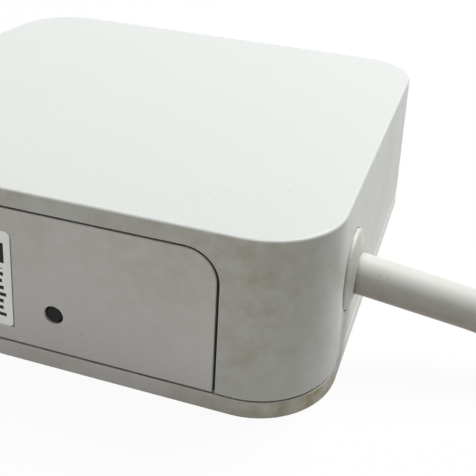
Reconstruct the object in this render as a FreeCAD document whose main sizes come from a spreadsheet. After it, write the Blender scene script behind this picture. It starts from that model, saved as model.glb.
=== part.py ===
import FreeCAD, Part
import math
import os
from types import SimpleNamespace

import Sketcher

# Heating controller: a wall-plate box with a wiring bay behind a pull-off panel, a control board with two
# relays, and a fitted flex. Millimetres. +X is to the right of the panel, +Y away from it, +Z off the wall.
# The origin is the centre of the underside of the base plate.

SIZES = {
    "base_length": 104.3,
    "base_depth": 99.3,
    "body_height": 33.0,
    "base_corner_radius": 14.5,
    "draft_angle": 2.4,
    "wall": 2.2,
    "base_thickness": 3.5,
    "base_floor": 2.2,
    "seam_gap": 0.3,
    "seam_depth": 0.8,
    "top_edge_radius": 0.5,
    "bottom_edge_radius": 0.6,
    "seam_edge_radius": 0.25,
    "lip_height": 7.0,
    "lip_wall": 1.4,
    "lip_clearance": 0.15,
    "snap_width": 10.0,
    "snap_height": 1.0,
    "snap_reach": 0.5,
    "snap_level": 5.6,
    "snap_spread": 24.0,
    "wall_screw_spacing": 60.0,
    "wall_slot_length": 8.0,
    "wall_slot_radius": 2.2,
    "wall_slot_back": 4.0,
    "floor_rib_height": 2.0,
    "floor_rib_width": 1.2,
    "cover_half_width": 34.5,
    "cover_low": 3.95,
    "cover_below_top": 3.4,
    "cover_corner_radius": 5.2,
    "cover_side_gap": 0.5,
    "cover_top_gap": 0.4,
    "cover_edge_radius": 0.2,
    "reset_hole_x": 6.3,
    "reset_hole_z": 11.4,
    "reset_hole_radius": 1.7,
    "cap_sink": 0.3,
    "cap_round": 0.5,
    "cap_flange_radius": 2.8,
    "cap_flange_thickness": 0.6,
    "tongue_width": 8.0,
    "tongue_thickness": 1.5,
    "tongue_level": 4.7,
    "tongue_spread": 24.0,
    "tongue_reach": 4.0,
    "latch_width": 7.0,
    "latch_thickness": 1.4,
    "latch_drop": 0.7,
    "latch_spread": 20.0,
    "latch_reach": 7.5,
    "latch_bump": 0.5,
    "slide_clearance": 0.3,
    "label_width": 24.0,
    "label_height": 18.5,
    "label_thickness": 0.15,
    "label_right": -1.6,
    "label_low": 7.0,
    "label_corner_radius": 0.9,
    "label_turn": 3.6,
    "cable_diameter": 7.3,
    "cable_clearance": 0.05,
    "cable_bend": 20.0,
    "cable_exit_azimuth": 12.3,
    "cable_exit_pitch": 14.8,
    "gland_from_front": 22.55,
    "gland_below_top": 14.65,
    "gland_stand_out": 0.35,
    "gland_flange_radius": 7.2,
    "gland_flange_thickness": 2.0,
    "gland_dome_height": 0.8,
    "gland_dome_radius": 4.6,
    "gland_dome_round": 0.4,
    "gland_body_radius": 5.9,
    "gland_body_length": 8.3,
    "gland_boss_radius": 9.5,
    "gland_seat_wall": 2.4,
    "nut_flats": 15.0,
    "nut_thickness": 3.0,
    "fit_clearance": 0.05,
    "loose_clearance": 0.1,
    "spot_clearance": 0.2,
    "clamp_inset": 16.0,
    "clamp_width": 5.2,
    "clamp_arm": 11.5,
    "clamp_thickness": 5.2,
    "clamp_screw_spread": 7.9,
    "anchor_depth": 6.5,
    "anchor_drop": 9.15,
    "clamp_screw_radius": 1.5,
    "clamp_head_radius": 2.7,
    "clamp_head_height": 1.9,
    "clamp_screw_length": 12.0,
    "sheath_end_gap": 0.8,
    "core_radius": 1.2,
    "core_circle": 1.5,
    "core_straight": 4.0,
    "brown_reach": 12.2,
    "blue_reach": 13.2,
    "earth_reach": 10.2,
    "brown_turn_in": 14.1,
    "brown_turn_aside": 0.3,
    "brown_turn_rise": 1.85,
    "collar_radius": 1.75,
    "collar_length": 4.6,
    "pin_radius": 1.1,
    "pin_length": 8.0,
    "board_side_gap": 5.25,
    "board_end_gap": 5.2,
    "board_corner_radius": 11.0,
    "board_thickness": 1.6,
    "board_level": 7.2,
    "bay_left": 9.8,
    "bay_back": -12.2,
    "post_radius": 3.2,
    "post_side_inset": 5.5,
    "post_end_inset": 6.5,
    "post_bay_inset": 6.2,
    "board_screw_radius": 1.2,
    "board_screw_length": 9.0,
    "board_head_radius": 2.3,
    "board_head_height": 1.4,
    "board_hole_radius": 1.4,
    "pole_count": 4,
    "pole_pitch": 5.08,
    "first_pole_x": 12.0,
    "terminal_set_back": 0.2,
    "terminal_depth": 13.0,
    "terminal_height": 16.0,
    "terminal_end": 0.6,
    "entry_radius": 1.95,
    "entry_rise": 4.2,
    "screw_rise": 11.2,
    "cage_set_back": 3.5,
    "terminal_screw_radius": 1.4,
    "terminal_head_radius": 2.0,
    "relay_length": 29.0,
    "relay_width": 12.7,
    "relay_height": 15.7,
    "relay_post_gap": 0.9,
    "relay_y": 8.0,
    "relay_gap": 2.0,
    "power_length": 33.7,
    "power_width": 22.2,
    "power_height": 15.0,
    "power_x": -41.0,
    "power_y": 6.0,
    "fuse_radius": 2.6,
    "fuse_length": 20.0,
    "fuse_chip_shift": 7.0,
    "fuse_end_gap": 6.45,
    "fuse_rise": 4.6,
    "clip_wall": 0.8,
    "varistor_radius": 5.0,
    "varistor_thickness": 3.8,
    "x2_length": 13.0,
    "x2_width": 6.0,
    "x2_height": 12.0,
    "component_leg_radius": 0.4,
    "bulk_radius": 5.0,
    "bulk_height": 16.0,
    "output_radius": 3.15,
    "output_height": 11.0,
    "radio_length": 18.0,
    "radio_width": 15.0,
    "radio_board_thickness": 0.8,
    "radio_side_gap": 10.5,
    "radio_y": -13.0,
    "shield_height": 2.2,
    "shield_inset": 1.5,
    "antenna_radius": 0.5,
    "antenna_rise": 17.0,
    "antenna_bend": 3.0,
    "antenna_run": 40.0,
    "chip_size": 10.0,
    "chip_height": 1.4,
    "crystal_width": 4.0,
    "crystal_height": 3.4,
    "resistor_length": 2.0,
    "resistor_width": 1.25,
    "resistor_height": 0.55,
    "diode_radius": 1.3,
    "led_length": 3.2,
    "led_width": 1.9,
    "led_height": 1.6,
    "switch_size": 6.0,
    "switch_height": 5.0,
    "switch_stem_radius": 1.7,
    "switch_stem_gap": 1.0,
    "switch_flange_radius": 2.0,
    "switch_flange_length": 0.8,
    "switch_travel": 0.5,
    "cable_lift": 1.0,
    "cable_first_run": 26.0,
    "coil_mean_radius": 39.2,
    "coil_pitch": 7.8,
    "coil_layer": 7.8,
    "coil_turns": 5,
    "tie_thickness": 0.8,
    "tie_width": 4.5,
    "tie_slack": 0.3,
    "tie_angle": 200.0,
    "tie_head": 5.5,
    "tie_head_height": 3.6,
    "lead_core_length": 42.0,
    "lead_core_spread": 0.6,
    "lead_core_sink": 0.85,
}

# The free flex beyond its first run, chosen by hand: it comes down beside the box and lies on the surface
# up to the coil. X and Y only: its height there is half its thickness above the tie.
CABLE_FLOOR_POINTS = [(102.0, -24.0), (120.0, -29.0)]

doc = FreeCAD.newDocument("heating_controller")
sheet = doc.addObject("Spreadsheet::Sheet", "Sizes")
for row, (name, number) in enumerate(SIZES.items(), 1):
    sheet.set(f"A{row}", name)
    sheet.set(f"B{row}", str(number))
    sheet.setAlias(f"B{row}", name)
doc.recompute()


class Size:
    """A length that keeps the sheet's expression for it beside its value."""

    def __init__(self, value, text):
        self.value = float(value)
        self.text = text

    def __float__(self):
        return self.value

    def __add__(self, other):
        return Size(self.value + float(other), f"({self.text} + {text_of(other)})")

    def __radd__(self, other):
        return Size(float(other) + self.value, f"({text_of(other)} + {self.text})")

    def __sub__(self, other):
        return Size(self.value - float(other), f"({self.text} - {text_of(other)})")

    def __rsub__(self, other):
        return Size(float(other) - self.value, f"({text_of(other)} - {self.text})")

    def __mul__(self, other):
        return Size(self.value * float(other), f"({self.text} * {text_of(other)})")

    def __rmul__(self, other):
        return self * other

    def __truediv__(self, other):
        return Size(self.value / float(other), f"({self.text} / {text_of(other)})")

    def __neg__(self):
        return Size(-self.value, f"(-1 * {self.text})")


def text_of(value):
    return value.text if isinstance(value, Size) else f"{float(value):.6f}"


def tangent_of(angle):
    return Size(math.tan(math.radians(float(angle))), f"tan({text_of(angle)} * 1 deg)")


s = SimpleNamespace(**{name: Size(sheet.get(name), f"Sizes.{name}") for name in SIZES})
slope = tangent_of(s.draft_angle)
housing_low = s.base_thickness + s.seam_gap
board_top = s.board_level + s.board_thickness
ceiling = s.body_height - s.wall
cover_high = s.body_height - s.cover_below_top
gland_face_x = s.base_length / 2 + s.gland_stand_out
gland_y = s.gland_from_front - s.base_depth / 2
gland_z = s.body_height - s.gland_below_top
clamp_x = gland_face_x - s.clamp_inset
anchor_low = gland_z - s.anchor_drop
board_length = s.base_length - 2 * s.board_side_gap
board_depth = s.base_depth - 2 * s.board_end_gap
post_x = board_length / 2 - s.post_side_inset
post_y = board_depth / 2 - s.post_end_inset
post_bay_y = s.bay_back + s.post_bay_inset
terminal_face_y = s.bay_back + s.terminal_set_back
radio_x = s.radio_side_gap - board_length / 2
chip_x = radio_x + s.radio_length + s.relay_gap
fuse_x = chip_x + s.fuse_chip_shift
fuse_y = s.fuse_end_gap - board_depth / 2


def half_length_at(height):
    return s.base_length / 2 - height * slope


def half_depth_at(height):
    return s.base_depth / 2 - height * slope


def corner_at(height):
    return s.base_corner_radius - height * slope


nodes = []


def keep(piece, label):
    """Give a finished sub-part its own name and list it for export."""
    piece.Label = label
    nodes.append(piece)
    return piece


def bind(piece, **properties):
    for name, value in properties.items():
        piece.setExpression(name.replace("__", "."), text_of(value))


def place(piece, x, y, z):
    for axis, value in zip("xyz", (x, y, z)):
        piece.setExpression(f"Placement.Base.{axis}", text_of(value))
    return piece


def box(name, x, y, z, length, width, height):
    piece = doc.addObject("Part::Box", name)
    bind(piece, Length=length, Width=width, Height=height)
    return place(piece, x, y, z)


TURNS = {
    "+Z": (FreeCAD.Vector(0, 0, 1), 0),
    "-Z": (FreeCAD.Vector(1, 0, 0), 180),
    "+X": (FreeCAD.Vector(0, 1, 0), 90),
    "-X": (FreeCAD.Vector(0, 1, 0), -90),
    "+Y": (FreeCAD.Vector(1, 0, 0), -90),
    "-Y": (FreeCAD.Vector(1, 0, 0), 90),
}


def turned(piece, way):
    piece.Placement = FreeCAD.Placement(FreeCAD.Vector(), FreeCAD.Rotation(*TURNS[way]))
    return piece


def rod(name, way, x, y, z, radius, length):
    """A cylinder that starts at a point and runs one way along an axis."""
    piece = turned(doc.addObject("Part::Cylinder", name), way)
    bind(piece, Radius=radius, Height=length)
    return place(piece, x, y, z)


def cone(name, way, x, y, z, radius_1, radius_2, length):
    piece = turned(doc.addObject("Part::Cone", name), way)
    bind(piece, Radius1=radius_1, Radius2=radius_2, Height=length)
    return place(piece, x, y, z)


def fused(name, pieces):
    piece = doc.addObject("Part::MultiFuse", name)
    piece.Shapes = pieces
    piece.Refine = True
    return piece


def cut(name, base, tools):
    piece = doc.addObject("Part::Cut", name)
    piece.Base = base
    piece.Tool = tools[0] if len(tools) == 1 else fused(name + "_tools", tools)
    piece.Refine = True
    return piece


def group(name, pieces):
    """Identical pieces of one kind, kept as separate solids in one node."""
    piece = doc.addObject("Part::Compound", name)
    piece.Links = pieces
    return piece


def new_sketch(body, name, role, offset=0.0):
    sketch = body.newObject("Sketcher::SketchObject", name)
    plane = next(f for f in body.Origin.OriginFeatures if f.Role == role)
    sketch.AttachmentSupport = [(plane, "")]
    sketch.MapMode = "FlatFace"
    sketch.setExpression("AttachmentOffset.Base.z", text_of(offset))
    return sketch


def limit(sketch, kind, geometry, point, value):
    """Tie one end of a line to the sketch's origin at a sheet distance."""
    number = sketch.addConstraint(Sketcher.Constraint(kind, -1, 1, geometry, point, float(value)))
    sketch.setExpression(f"Constraints[{number}]", text_of(value))


def radius_of(sketch, geometry, value):
    number = sketch.addConstraint(Sketcher.Constraint("Radius", geometry, float(value)))
    sketch.setExpression(f"Constraints[{number}]", text_of(value))


def outline(sketch, left, right, low, high, radius, square_low=False):
    """A rectangle with rounded corners; square_low leaves its two low corners sharp."""
    l, r, b, t, q = (float(v) for v in (left, right, low, high, radius))
    line = lambda x1, y1, x2, y2: Part.LineSegment(FreeCAD.Vector(x1, y1, 0), FreeCAD.Vector(x2, y2, 0))

    def arc(x, y, start):
        ring = Part.Circle(FreeCAD.Vector(x, y, 0), FreeCAD.Vector(0, 0, 1), q)
        return Part.ArcOfCircle(ring, math.radians(start), math.radians(start + 90))

    if square_low:
        shapes = [line(l, b, r, b), line(r, b, r, t - q), arc(r - q, t - q, 0)]
        shapes += [line(r - q, t, l + q, t), arc(l + q, t - q, 90), line(l, t - q, l, b)]
        level, upright, arcs = (0, 3), (1, 5), (2, 4)
    else:
        shapes = [line(l + q, b, r - q, b), arc(r - q, b + q, -90), line(r, b + q, r, t - q)]
        shapes += [arc(r - q, t - q, 0), line(r - q, t, l + q, t), arc(l + q, t - q, 90)]
        shapes += [line(l, t - q, l, b + q), arc(l + q, b + q, 180)]
        level, upright, arcs = (0, 4), (2, 6), (1, 3, 5, 7)
    first = [sketch.addGeometry(shape, False) for shape in shapes][0]
    for at in range(len(shapes)):
        after = (at + 1) % len(shapes)
        kind = "Tangent" if at in arcs or after in arcs else "Coincident"
        sketch.addConstraint(Sketcher.Constraint(kind, first + at, 2, first + after, 1))
    for at in level:
        sketch.addConstraint(Sketcher.Constraint("Horizontal", first + at))
    for at in upright:
        sketch.addConstraint(Sketcher.Constraint("Vertical", first + at))
    for at in arcs[1:]:
        sketch.addConstraint(Sketcher.Constraint("Equal", first + arcs[0], first + at))
    radius_of(sketch, first + arcs[0], radius)
    limit(sketch, "DistanceX", first + upright[0], 1, right)
    limit(sketch, "DistanceX", first + upright[1], 1, left)
    limit(sketch, "DistanceY", first + level[0], 1, low)
    limit(sketch, "DistanceY", first + level[1], 1, high)


def circle(sketch, x, y, radius):
    ring = Part.Circle(FreeCAD.Vector(float(x), float(y), 0), FreeCAD.Vector(0, 0, 1), float(radius))
    at = sketch.addGeometry(ring, False)
    radius_of(sketch, at, radius)
    limit(sketch, "DistanceX", at, 3, x)
    limit(sketch, "DistanceY", at, 3, y)


def pad(body, sketch, length, taper=None, reverse=False):
    feature = body.newObject("PartDesign::Pad", sketch.Name + "_pad")
    feature.Profile = sketch
    feature.Reversed = reverse
    bind(feature, Length=length)
    if taper is not None:
        bind(feature, TaperAngle=taper)
    sketch.Visibility = False
    doc.recompute()
    return feature


def pocket(body, sketch, length, taper=None, reverse=False):
    before = body.Shape.Volume
    feature = body.newObject("PartDesign::Pocket", sketch.Name + "_pocket")
    feature.Profile = sketch
    feature.Reversed = reverse
    bind(feature, Length=length)
    if taper is not None:
        bind(feature, TaperAngle=taper)
    doc.recompute()
    if not body.Shape.Volume < before:
        raise RuntimeError(f"{feature.Name} took nothing away")
    return feature


def rounded(body, name, radius, wanted):
    """A fillet on the edges of the body's tip that a test picks."""
    base = body.Tip
    edges = [f"Edge{n}" for n, edge in enumerate(base.Shape.Edges, 1) if wanted(edge.BoundBox)]
    if not edges:
        raise RuntimeError(f"{name} found no edge")
    feature = body.newObject("PartDesign::Fillet", name)
    feature.Base = (base, edges)
    bind(feature, Radius=radius)
    doc.recompute()
    return feature


def new_body(name):
    return doc.addObject("PartDesign::Body", name)


# Tubes for flexes, cores and the aerial: straight runs joined by tangent arcs.


def unit(vector):
    return FreeCAD.Vector(vector).normalize()


def arc_between(start, corner, end):
    """The arc that leaves start towards corner and reaches end, tangent at both."""
    lead = unit(corner - start)
    away = unit(end - corner)
    half = lead.getAngle(away) / 2
    if half < 1e-6:
        return Part.LineSegment(start, end).toShape()
    weight = math.cos(half)
    middle = (start + corner * (2 * weight) + end) * (1 / (2 + 2 * weight))
    return Part.Arc(start, middle, end).toShape()


def path_through(points, radius=None):
    """Runs between points with an arc at each corner, as large as the runs allow or of a given radius."""
    edges = []
    radii = []
    start = points[0]
    for before, corner, after in zip(points, points[1:], points[2:]):
        lead, away = corner - before, after - corner
        half = lead.getAngle(away) / 2
        reach = 0.45 * min(lead.Length, away.Length)
        if radius is not None:
            reach = radius * math.tan(half)
        radii.append(round(reach / math.tan(half), 1))
        enter = corner - unit(lead) * reach
        leave = corner + unit(away) * reach
        edges.append(Part.LineSegment(start, enter).toShape())
        edges.append(arc_between(enter, corner, leave))
        start = leave
    if (points[-1] - start).Length > 1e-6:
        edges.append(Part.LineSegment(start, points[-1]).toShape())
    return edges, radii


def tube(name, edges, radius):
    """A solid round tube along edges that meet tangent, its volume compared with section times length."""
    path = Part.Wire(edges)
    start = edges[0].valueAt(edges[0].FirstParameter)
    heading = unit(edges[0].tangentAt(edges[0].FirstParameter))
    ring = Part.Wire([Part.Circle(start, heading, radius).toShape()])
    shape = path.makePipeShell([ring], True, False)
    if shape.ShapeType != "Solid":
        shape = Part.Solid(shape.Shells[0])
    expected = math.pi * radius**2 * path.Length
    ratio = abs(shape.Volume) / expected
    print(f"{name}: length {path.Length:.1f}, volume over section times length {ratio:.4f}")
    if abs(ratio - 1) > 0.01:
        raise RuntimeError(f"{name} has the wrong volume")
    piece = doc.addObject("Part::Feature", name)
    piece.Shape = shape
    return piece


vec = FreeCAD.Vector

# Housing: a tapered shell that is open below and in front, with posts for the board, a boss behind the
# gland and an anchor for the flex.

def plan(sketch, half_length, half_depth, radius):
    outline(sketch, -half_length, half_length, -half_depth, half_depth, radius)


shell = new_body("housing_shell")
outside = new_sketch(shell, "housing_outside", "XY_Plane")
plan(outside, half_length_at(0), half_depth_at(0), s.base_corner_radius)
pad(shell, outside, s.body_height, taper=-s.draft_angle)

below = new_sketch(shell, "housing_below", "XY_Plane")
plan(below, half_length_at(0), half_depth_at(0), s.base_corner_radius)
pocket(shell, below, housing_low, reverse=True)
rounded(shell, "top_round", s.top_edge_radius, lambda b: b.ZMin > float(s.body_height) - 0.01)
rounded(shell, "seam_round", s.seam_edge_radius, lambda b: b.ZMax < float(housing_low) + 0.01)
inside = new_sketch(shell, "housing_inside", "XY_Plane")
plan(inside, half_length_at(0) - s.wall, half_depth_at(0) - s.wall, s.base_corner_radius - s.wall)
pocket(shell, inside, ceiling, taper=-s.draft_angle, reverse=True)
opening = new_sketch(shell, "cover_opening", "XZ_Plane")
opening_half = s.cover_half_width + s.cover_side_gap
opening_high = cover_high + s.cover_top_gap
opening_radius = s.cover_corner_radius + s.cover_side_gap
outline(opening, -opening_half, opening_half, 0 * s.wall, opening_high, opening_radius, square_low=True)
pocket(shell, opening, s.base_depth, reverse=True)

gland_seat_x = gland_face_x - s.gland_flange_thickness
boss_face_x = gland_seat_x - s.gland_seat_wall
boss_length = s.gland_seat_wall - s.wall / 3
boss = rod("gland_boss", "+X", boss_face_x, gland_y, gland_z, s.gland_boss_radius, boss_length)
POSTS = [(-post_x, -post_y), (-post_x, post_y), (post_x, post_y), (post_x, post_bay_y)]
post_height = ceiling - board_top + s.wall / 2
posts = [
    rod(f"post_{n}", "+Z", x, y, board_top, s.post_radius, post_height) for n, (x, y) in enumerate(POSTS)
]
anchor_front_y = gland_y + s.cable_diameter / 2 + s.cable_clearance
anchor = box(
    "cable_anchor",
    clamp_x - s.clamp_width / 2,
    anchor_front_y,
    anchor_low,
    s.clamp_width,
    s.anchor_depth,
    ceiling - anchor_low + s.wall / 2,
)
solid_housing = fused("housing_solid", [shell, boss, *posts, anchor])
spot_radius = s.gland_flange_radius + s.spot_clearance
spot = rod("gland_spot", "+X", gland_seat_x, gland_y, gland_z, spot_radius, s.gland_seat_wall)
gland_hole = rod(
    "gland_hole",
    "+X",
    boss_face_x - s.wall,
    gland_y,
    gland_z,
    s.gland_body_radius + s.loose_clearance,
    s.gland_seat_wall + 2 * s.wall,
)
pilot_radius = s.board_screw_radius + s.fit_clearance
pilots = [
    rod(f"pilot_{n}", "+Z", x, y, board_top, pilot_radius, s.board_screw_length)
    for n, (x, y) in enumerate(POSTS)
]
CLAMP_SIDES = (-1, 1)
clamp_pilots = [
    rod(
        f"clamp_pilot_{n}",
        "+Y",
        clamp_x,
        anchor_front_y,
        gland_z + side * s.clamp_screw_spread,
        s.clamp_screw_radius + s.fit_clearance,
        s.anchor_depth,
    )
    for n, side in enumerate(CLAMP_SIDES)
]

# Snaps: low bumps on the base plate's lip that sit in shallow pockets inside the housing's wall.
lip_x = half_length_at(s.lip_height) - s.wall - s.lip_clearance
lip_y = half_depth_at(s.lip_height) - s.wall - s.lip_clearance


def snap(name, side_x, side_y, along, extra):
    """A bump, or its pocket with some room round it, on one side of the box."""
    width = s.snap_width + 2 * extra
    height = s.snap_height + 2 * extra
    reach = s.snap_reach + s.lip_wall / 2 + extra
    low = s.snap_level - extra
    if side_x:
        start = lip_x - s.lip_wall / 2 if side_x > 0 else -lip_x - s.snap_reach - extra
        return box(name, start, along - width / 2, low, reach, width, height)
    start = lip_y - s.lip_wall / 2
    return box(name, along - width / 2, start, low, width, reach, height)


SNAPS = [(1, 0, s.snap_spread), (1, 0, 0 * s.snap_spread), (-1, 0, s.snap_spread), (-1, 0, -s.snap_spread)]
SNAPS += [(0, 1, s.snap_spread), (0, 1, -s.snap_spread)]
snap_pockets = [snap(f"snap_pocket_{n}", *at, s.lip_clearance) for n, at in enumerate(SNAPS)]
keep(cut("housing", solid_housing, [spot, gland_hole, *pilots, *clamp_pilots, *snap_pockets]), "housing")

# Base plate: a tapered tray with a step that makes the seam's shadow line, and a lip inside the housing.
tray = new_body("base_tray")
foot = new_sketch(tray, "base_foot", "XY_Plane")
plan(foot, half_length_at(0), half_depth_at(0), s.base_corner_radius)
pad(tray, foot, s.base_thickness, taper=-s.draft_angle)
rounded(tray, "foot_round", s.bottom_edge_radius, lambda b: b.ZMax < 0.01)
rounded(tray, "base_round", s.seam_edge_radius, lambda b: b.ZMin > float(s.base_thickness) - 0.01)
step = new_sketch(tray, "base_step", "XY_Plane", s.base_floor)
step_x = half_length_at(housing_low) - s.seam_depth
step_y = half_depth_at(housing_low) - s.seam_depth
plan(step, step_x, step_y, corner_at(housing_low) - s.seam_depth)
pad(tray, step, housing_low - s.base_floor)
lip = new_sketch(tray, "base_lip", "XY_Plane", s.base_floor)
lip_corner = corner_at(s.lip_height) - s.wall - s.lip_clearance
plan(lip, lip_x, lip_y, lip_corner)
pad(tray, lip, s.lip_height - s.base_floor)
well = new_sketch(tray, "base_well", "XY_Plane", s.base_floor)
plan(well, lip_x - s.lip_wall, lip_y - s.lip_wall, lip_corner - s.lip_wall)
pocket(tray, well, s.lip_height, reverse=True)

bumps = [snap(f"snap_{n}", *at, 0) for n, at in enumerate(SNAPS)]
rib_length = 2 * (lip_x - s.lip_wall / 2)
ribs = [
    box(
        f"floor_rib_{n}",
        -rib_length / 2,
        at - s.floor_rib_width / 2,
        s.base_floor / 2,
        rib_length,
        s.floor_rib_width,
        s.base_floor / 2 + s.floor_rib_height,
    )
    for n, at in enumerate((s.base_depth / 4, s.base_depth / -12))
]
base_solid = fused("base_solid", [tray, *bumps, *ribs])


def slot_cut(name, x):
    """A wall-screw slot along X, through the base plate."""
    straight = s.wall_slot_length - 2 * s.wall_slot_radius
    deep = s.base_floor * 3
    low_y = s.wall_slot_back - s.wall_slot_radius
    width = 2 * s.wall_slot_radius
    pieces = [box(name + "_middle", x - straight / 2, low_y, -s.base_floor, straight, width, deep)]
    for n, side in enumerate((-1, 1)):
        end_x = x + side * straight / 2
        end = rod(f"{name}_{n}", "+Z", end_x, s.wall_slot_back, -s.base_floor, s.wall_slot_radius, deep)
        pieces.append(end)
    return pieces


slots = slot_cut("left_slot", -s.wall_screw_spacing / 2) + slot_cut("right_slot", s.wall_screw_spacing / 2)
tongue_slots = [
    box(
        f"tongue_slot_{n}",
        side * s.tongue_spread - s.tongue_width / 2 - s.slide_clearance,
        -lip_y - s.lip_wall,
        s.tongue_level - s.slide_clearance,
        s.tongue_width + 2 * s.slide_clearance,
        3 * s.lip_wall,
        s.tongue_thickness + 2 * s.slide_clearance,
    )
    for n, side in enumerate((-1, 1))
]
keep(cut("base_plate", base_solid, [*slots, *tongue_slots]), "base_plate")

# Terminal cover: a flat panel that leans with the wall. It pulls straight off towards -Y on two tongues
# and two latch arms.


def lean(sketch, out):
    """Stand a sketch of an XZ plane on the front wall's slope, a distance out from it."""
    sketch.AttachmentOffset = FreeCAD.Placement(
        FreeCAD.Vector(), FreeCAD.Rotation(FreeCAD.Vector(1, 0, 0), -float(s.draft_angle))
    )
    sketch.setExpression("AttachmentOffset.Rotation.Angle", text_of(-s.draft_angle))
    sketch.setExpression("AttachmentOffset.Base.z", text_of(s.base_depth / 2 + out))


panel = new_body("cover_panel")
front = new_sketch(panel, "cover_front", "XZ_Plane")
lean(front, 0)
cover_half = s.cover_half_width
outline(front, -cover_half, cover_half, s.cover_low, cover_high, s.cover_corner_radius, square_low=True)
circle(front, s.reset_hole_x, s.reset_hole_z, s.reset_hole_radius)
pad(panel, front, s.wall, reverse=True)


def front_inside(height):
    """Y of the inner face of the front wall, or of the panel, at a height."""
    return s.wall - half_depth_at(height)


def front_outer_edge(b):
    """Edges of the panel's outer face, straight ones and arcs."""
    middle = (b.ZMin + b.ZMax) / 2
    return (b.YMin + b.YMax) / 2 < -float(half_depth_at(middle)) + float(s.wall) / 4


rounded(panel, "cover_round", s.cover_edge_radius, front_outer_edge)
tongues = []
latches = []
for n, side in enumerate((-1, 1)):
    root = front_inside(s.tongue_level) - s.wall / 2
    tongues.append(
        box(
            f"tongue_{n}",
            side * s.tongue_spread - s.tongue_width / 2,
            root,
            s.tongue_level,
            s.tongue_width,
            s.tongue_reach + s.wall / 2,
            s.tongue_thickness,
        )
    )
    arm_low = cover_high - s.latch_drop - s.latch_bump - s.latch_thickness
    root = front_inside(arm_low) - s.wall / 3
    latches.append(
        box(
            f"latch_{n}",
            side * s.latch_spread - s.latch_width / 2,
            root,
            arm_low,
            s.latch_width,
            s.latch_reach + s.wall / 3,
            s.latch_thickness,
        )
    )
    latches.append(
        box(
            f"latch_bump_{n}",
            side * s.latch_spread - s.latch_width / 2,
            root + s.latch_reach - s.latch_thickness,
            arm_low + s.latch_thickness / 2,
            s.latch_width,
            s.latch_thickness,
            s.latch_thickness / 2 + s.latch_bump,
        )
    )
keep(fused("terminal_cover", [panel, *tongues, *latches]), "terminal_cover")

# Reset cap: a soft plug with a domed face in the cover's hole, held by a flange behind the panel.
cap = new_body("reset_cap")
cap_plug = new_sketch(cap, "cap_plug", "XZ_Plane")
lean(cap_plug, -s.cap_sink)
circle(cap_plug, s.reset_hole_x, s.reset_hole_z, s.reset_hole_radius - s.fit_clearance)
pad(cap, cap_plug, s.wall - s.cap_sink + s.cap_flange_thickness, reverse=True)
cap_flange = new_sketch(cap, "cap_flange", "XZ_Plane")
lean(cap_flange, -s.wall - s.fit_clearance)
circle(cap_flange, s.reset_hole_x, s.reset_hole_z, s.cap_flange_radius)
pad(cap, cap_flange, s.cap_flange_thickness, reverse=True)
panel_middle_y = float(front_inside(s.reset_hole_z) - s.wall / 2)
rounded(cap, "cap_round", s.cap_round, lambda b: b.YMax < panel_middle_y)
keep(cap, "reset_cap")

sticker = new_body("label")
sticker_outline = new_sketch(sticker, "label_outline", "XZ_Plane")
lean(sticker_outline, -s.base_depth / 2)
outline(
    sticker_outline,
    -s.label_width,
    0 * s.label_width,
    0 * s.label_height,
    s.label_height,
    s.label_corner_radius,
)
pad(sticker, sticker_outline, s.label_thickness)
lean_angle = math.radians(float(s.draft_angle))
sticker.Placement = FreeCAD.Placement(
    FreeCAD.Vector(),
    FreeCAD.Rotation(FreeCAD.Vector(0, -math.cos(lean_angle), math.sin(lean_angle)), -float(s.label_turn)),
)
sticker.setExpression("Placement.Rotation.Angle", text_of(-s.label_turn))
place(sticker, s.label_right, -half_depth_at(s.label_low), s.label_low)
keep(sticker, "label")

# Cable gland: a bush with a low domed flange, its locknut, and the clamp inside. Its way follows the bend
# on which the flex turns out of it.
mm = SimpleNamespace(**{name: float(getattr(s, name)) for name in SIZES})
azimuth = math.radians(mm.cable_exit_azimuth)
pitch = math.radians(mm.cable_exit_pitch)
exit_way = vec(math.cos(pitch) * math.cos(azimuth), math.cos(pitch) * math.sin(azimuth), -math.sin(pitch))
bend_reach = mm.cable_bend * math.tan(exit_way.getAngle(vec(1, 0, 0)) / 2)
cable_radius = mm.cable_diameter / 2
gland_face = vec(float(gland_face_x), float(gland_y), float(gland_z))
bend_corner = gland_face - vec(bend_reach * exit_way.x, 0, 0)
cable_exit = bend_corner + exit_way * bend_reach
sheath_end = gland_face - vec(mm.clamp_inset + mm.clamp_width / 2 + mm.sheath_end_gap, 0, 0)
entry_edges = path_through([sheath_end, bend_corner, cable_exit], radius=mm.cable_bend)[0]
half_cable = s.cable_diameter / 2
bore_radius = half_cable + s.cable_clearance
rim_thickness = s.gland_flange_thickness - s.gland_dome_height
rim = rod("gland_rim", "+X", gland_seat_x, gland_y, gland_z, s.gland_flange_radius, rim_thickness)
dome = cone(
    "gland_dome",
    "+X",
    gland_seat_x + rim_thickness,
    gland_y,
    gland_z,
    s.gland_flange_radius,
    s.gland_dome_radius,
    s.gland_dome_height,
)
flange = fused("gland_flange", [rim, dome])
flange_round = doc.addObject("Part::Fillet", "gland_flange_round")
doc.recompute()
flange_round.Base = flange
dome_rings = [
    n
    for n, edge in enumerate(flange.Shape.Edges, 1)
    if edge.isClosed() and edge.BoundBox.XMin > float(gland_seat_x + rim_thickness / 2)
]
flange_round.Edges = [(n, float(s.gland_dome_round), float(s.gland_dome_round)) for n in dome_rings]
barrel = rod(
    "gland_barrel",
    "-X",
    gland_seat_x + rim_thickness / 2,
    gland_y,
    gland_z,
    s.gland_body_radius,
    s.gland_body_length + rim_thickness / 2,
)
gland_solid = fused("gland_solid", [flange_round, barrel])
way_edges = path_through([sheath_end, bend_corner, cable_exit + exit_way * mm.wall], radius=mm.cable_bend)[0]
gland_way = tube("gland_way", way_edges, float(bore_radius))
keep(cut("cable_gland", gland_solid, [gland_way]), "cable_gland")

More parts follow.
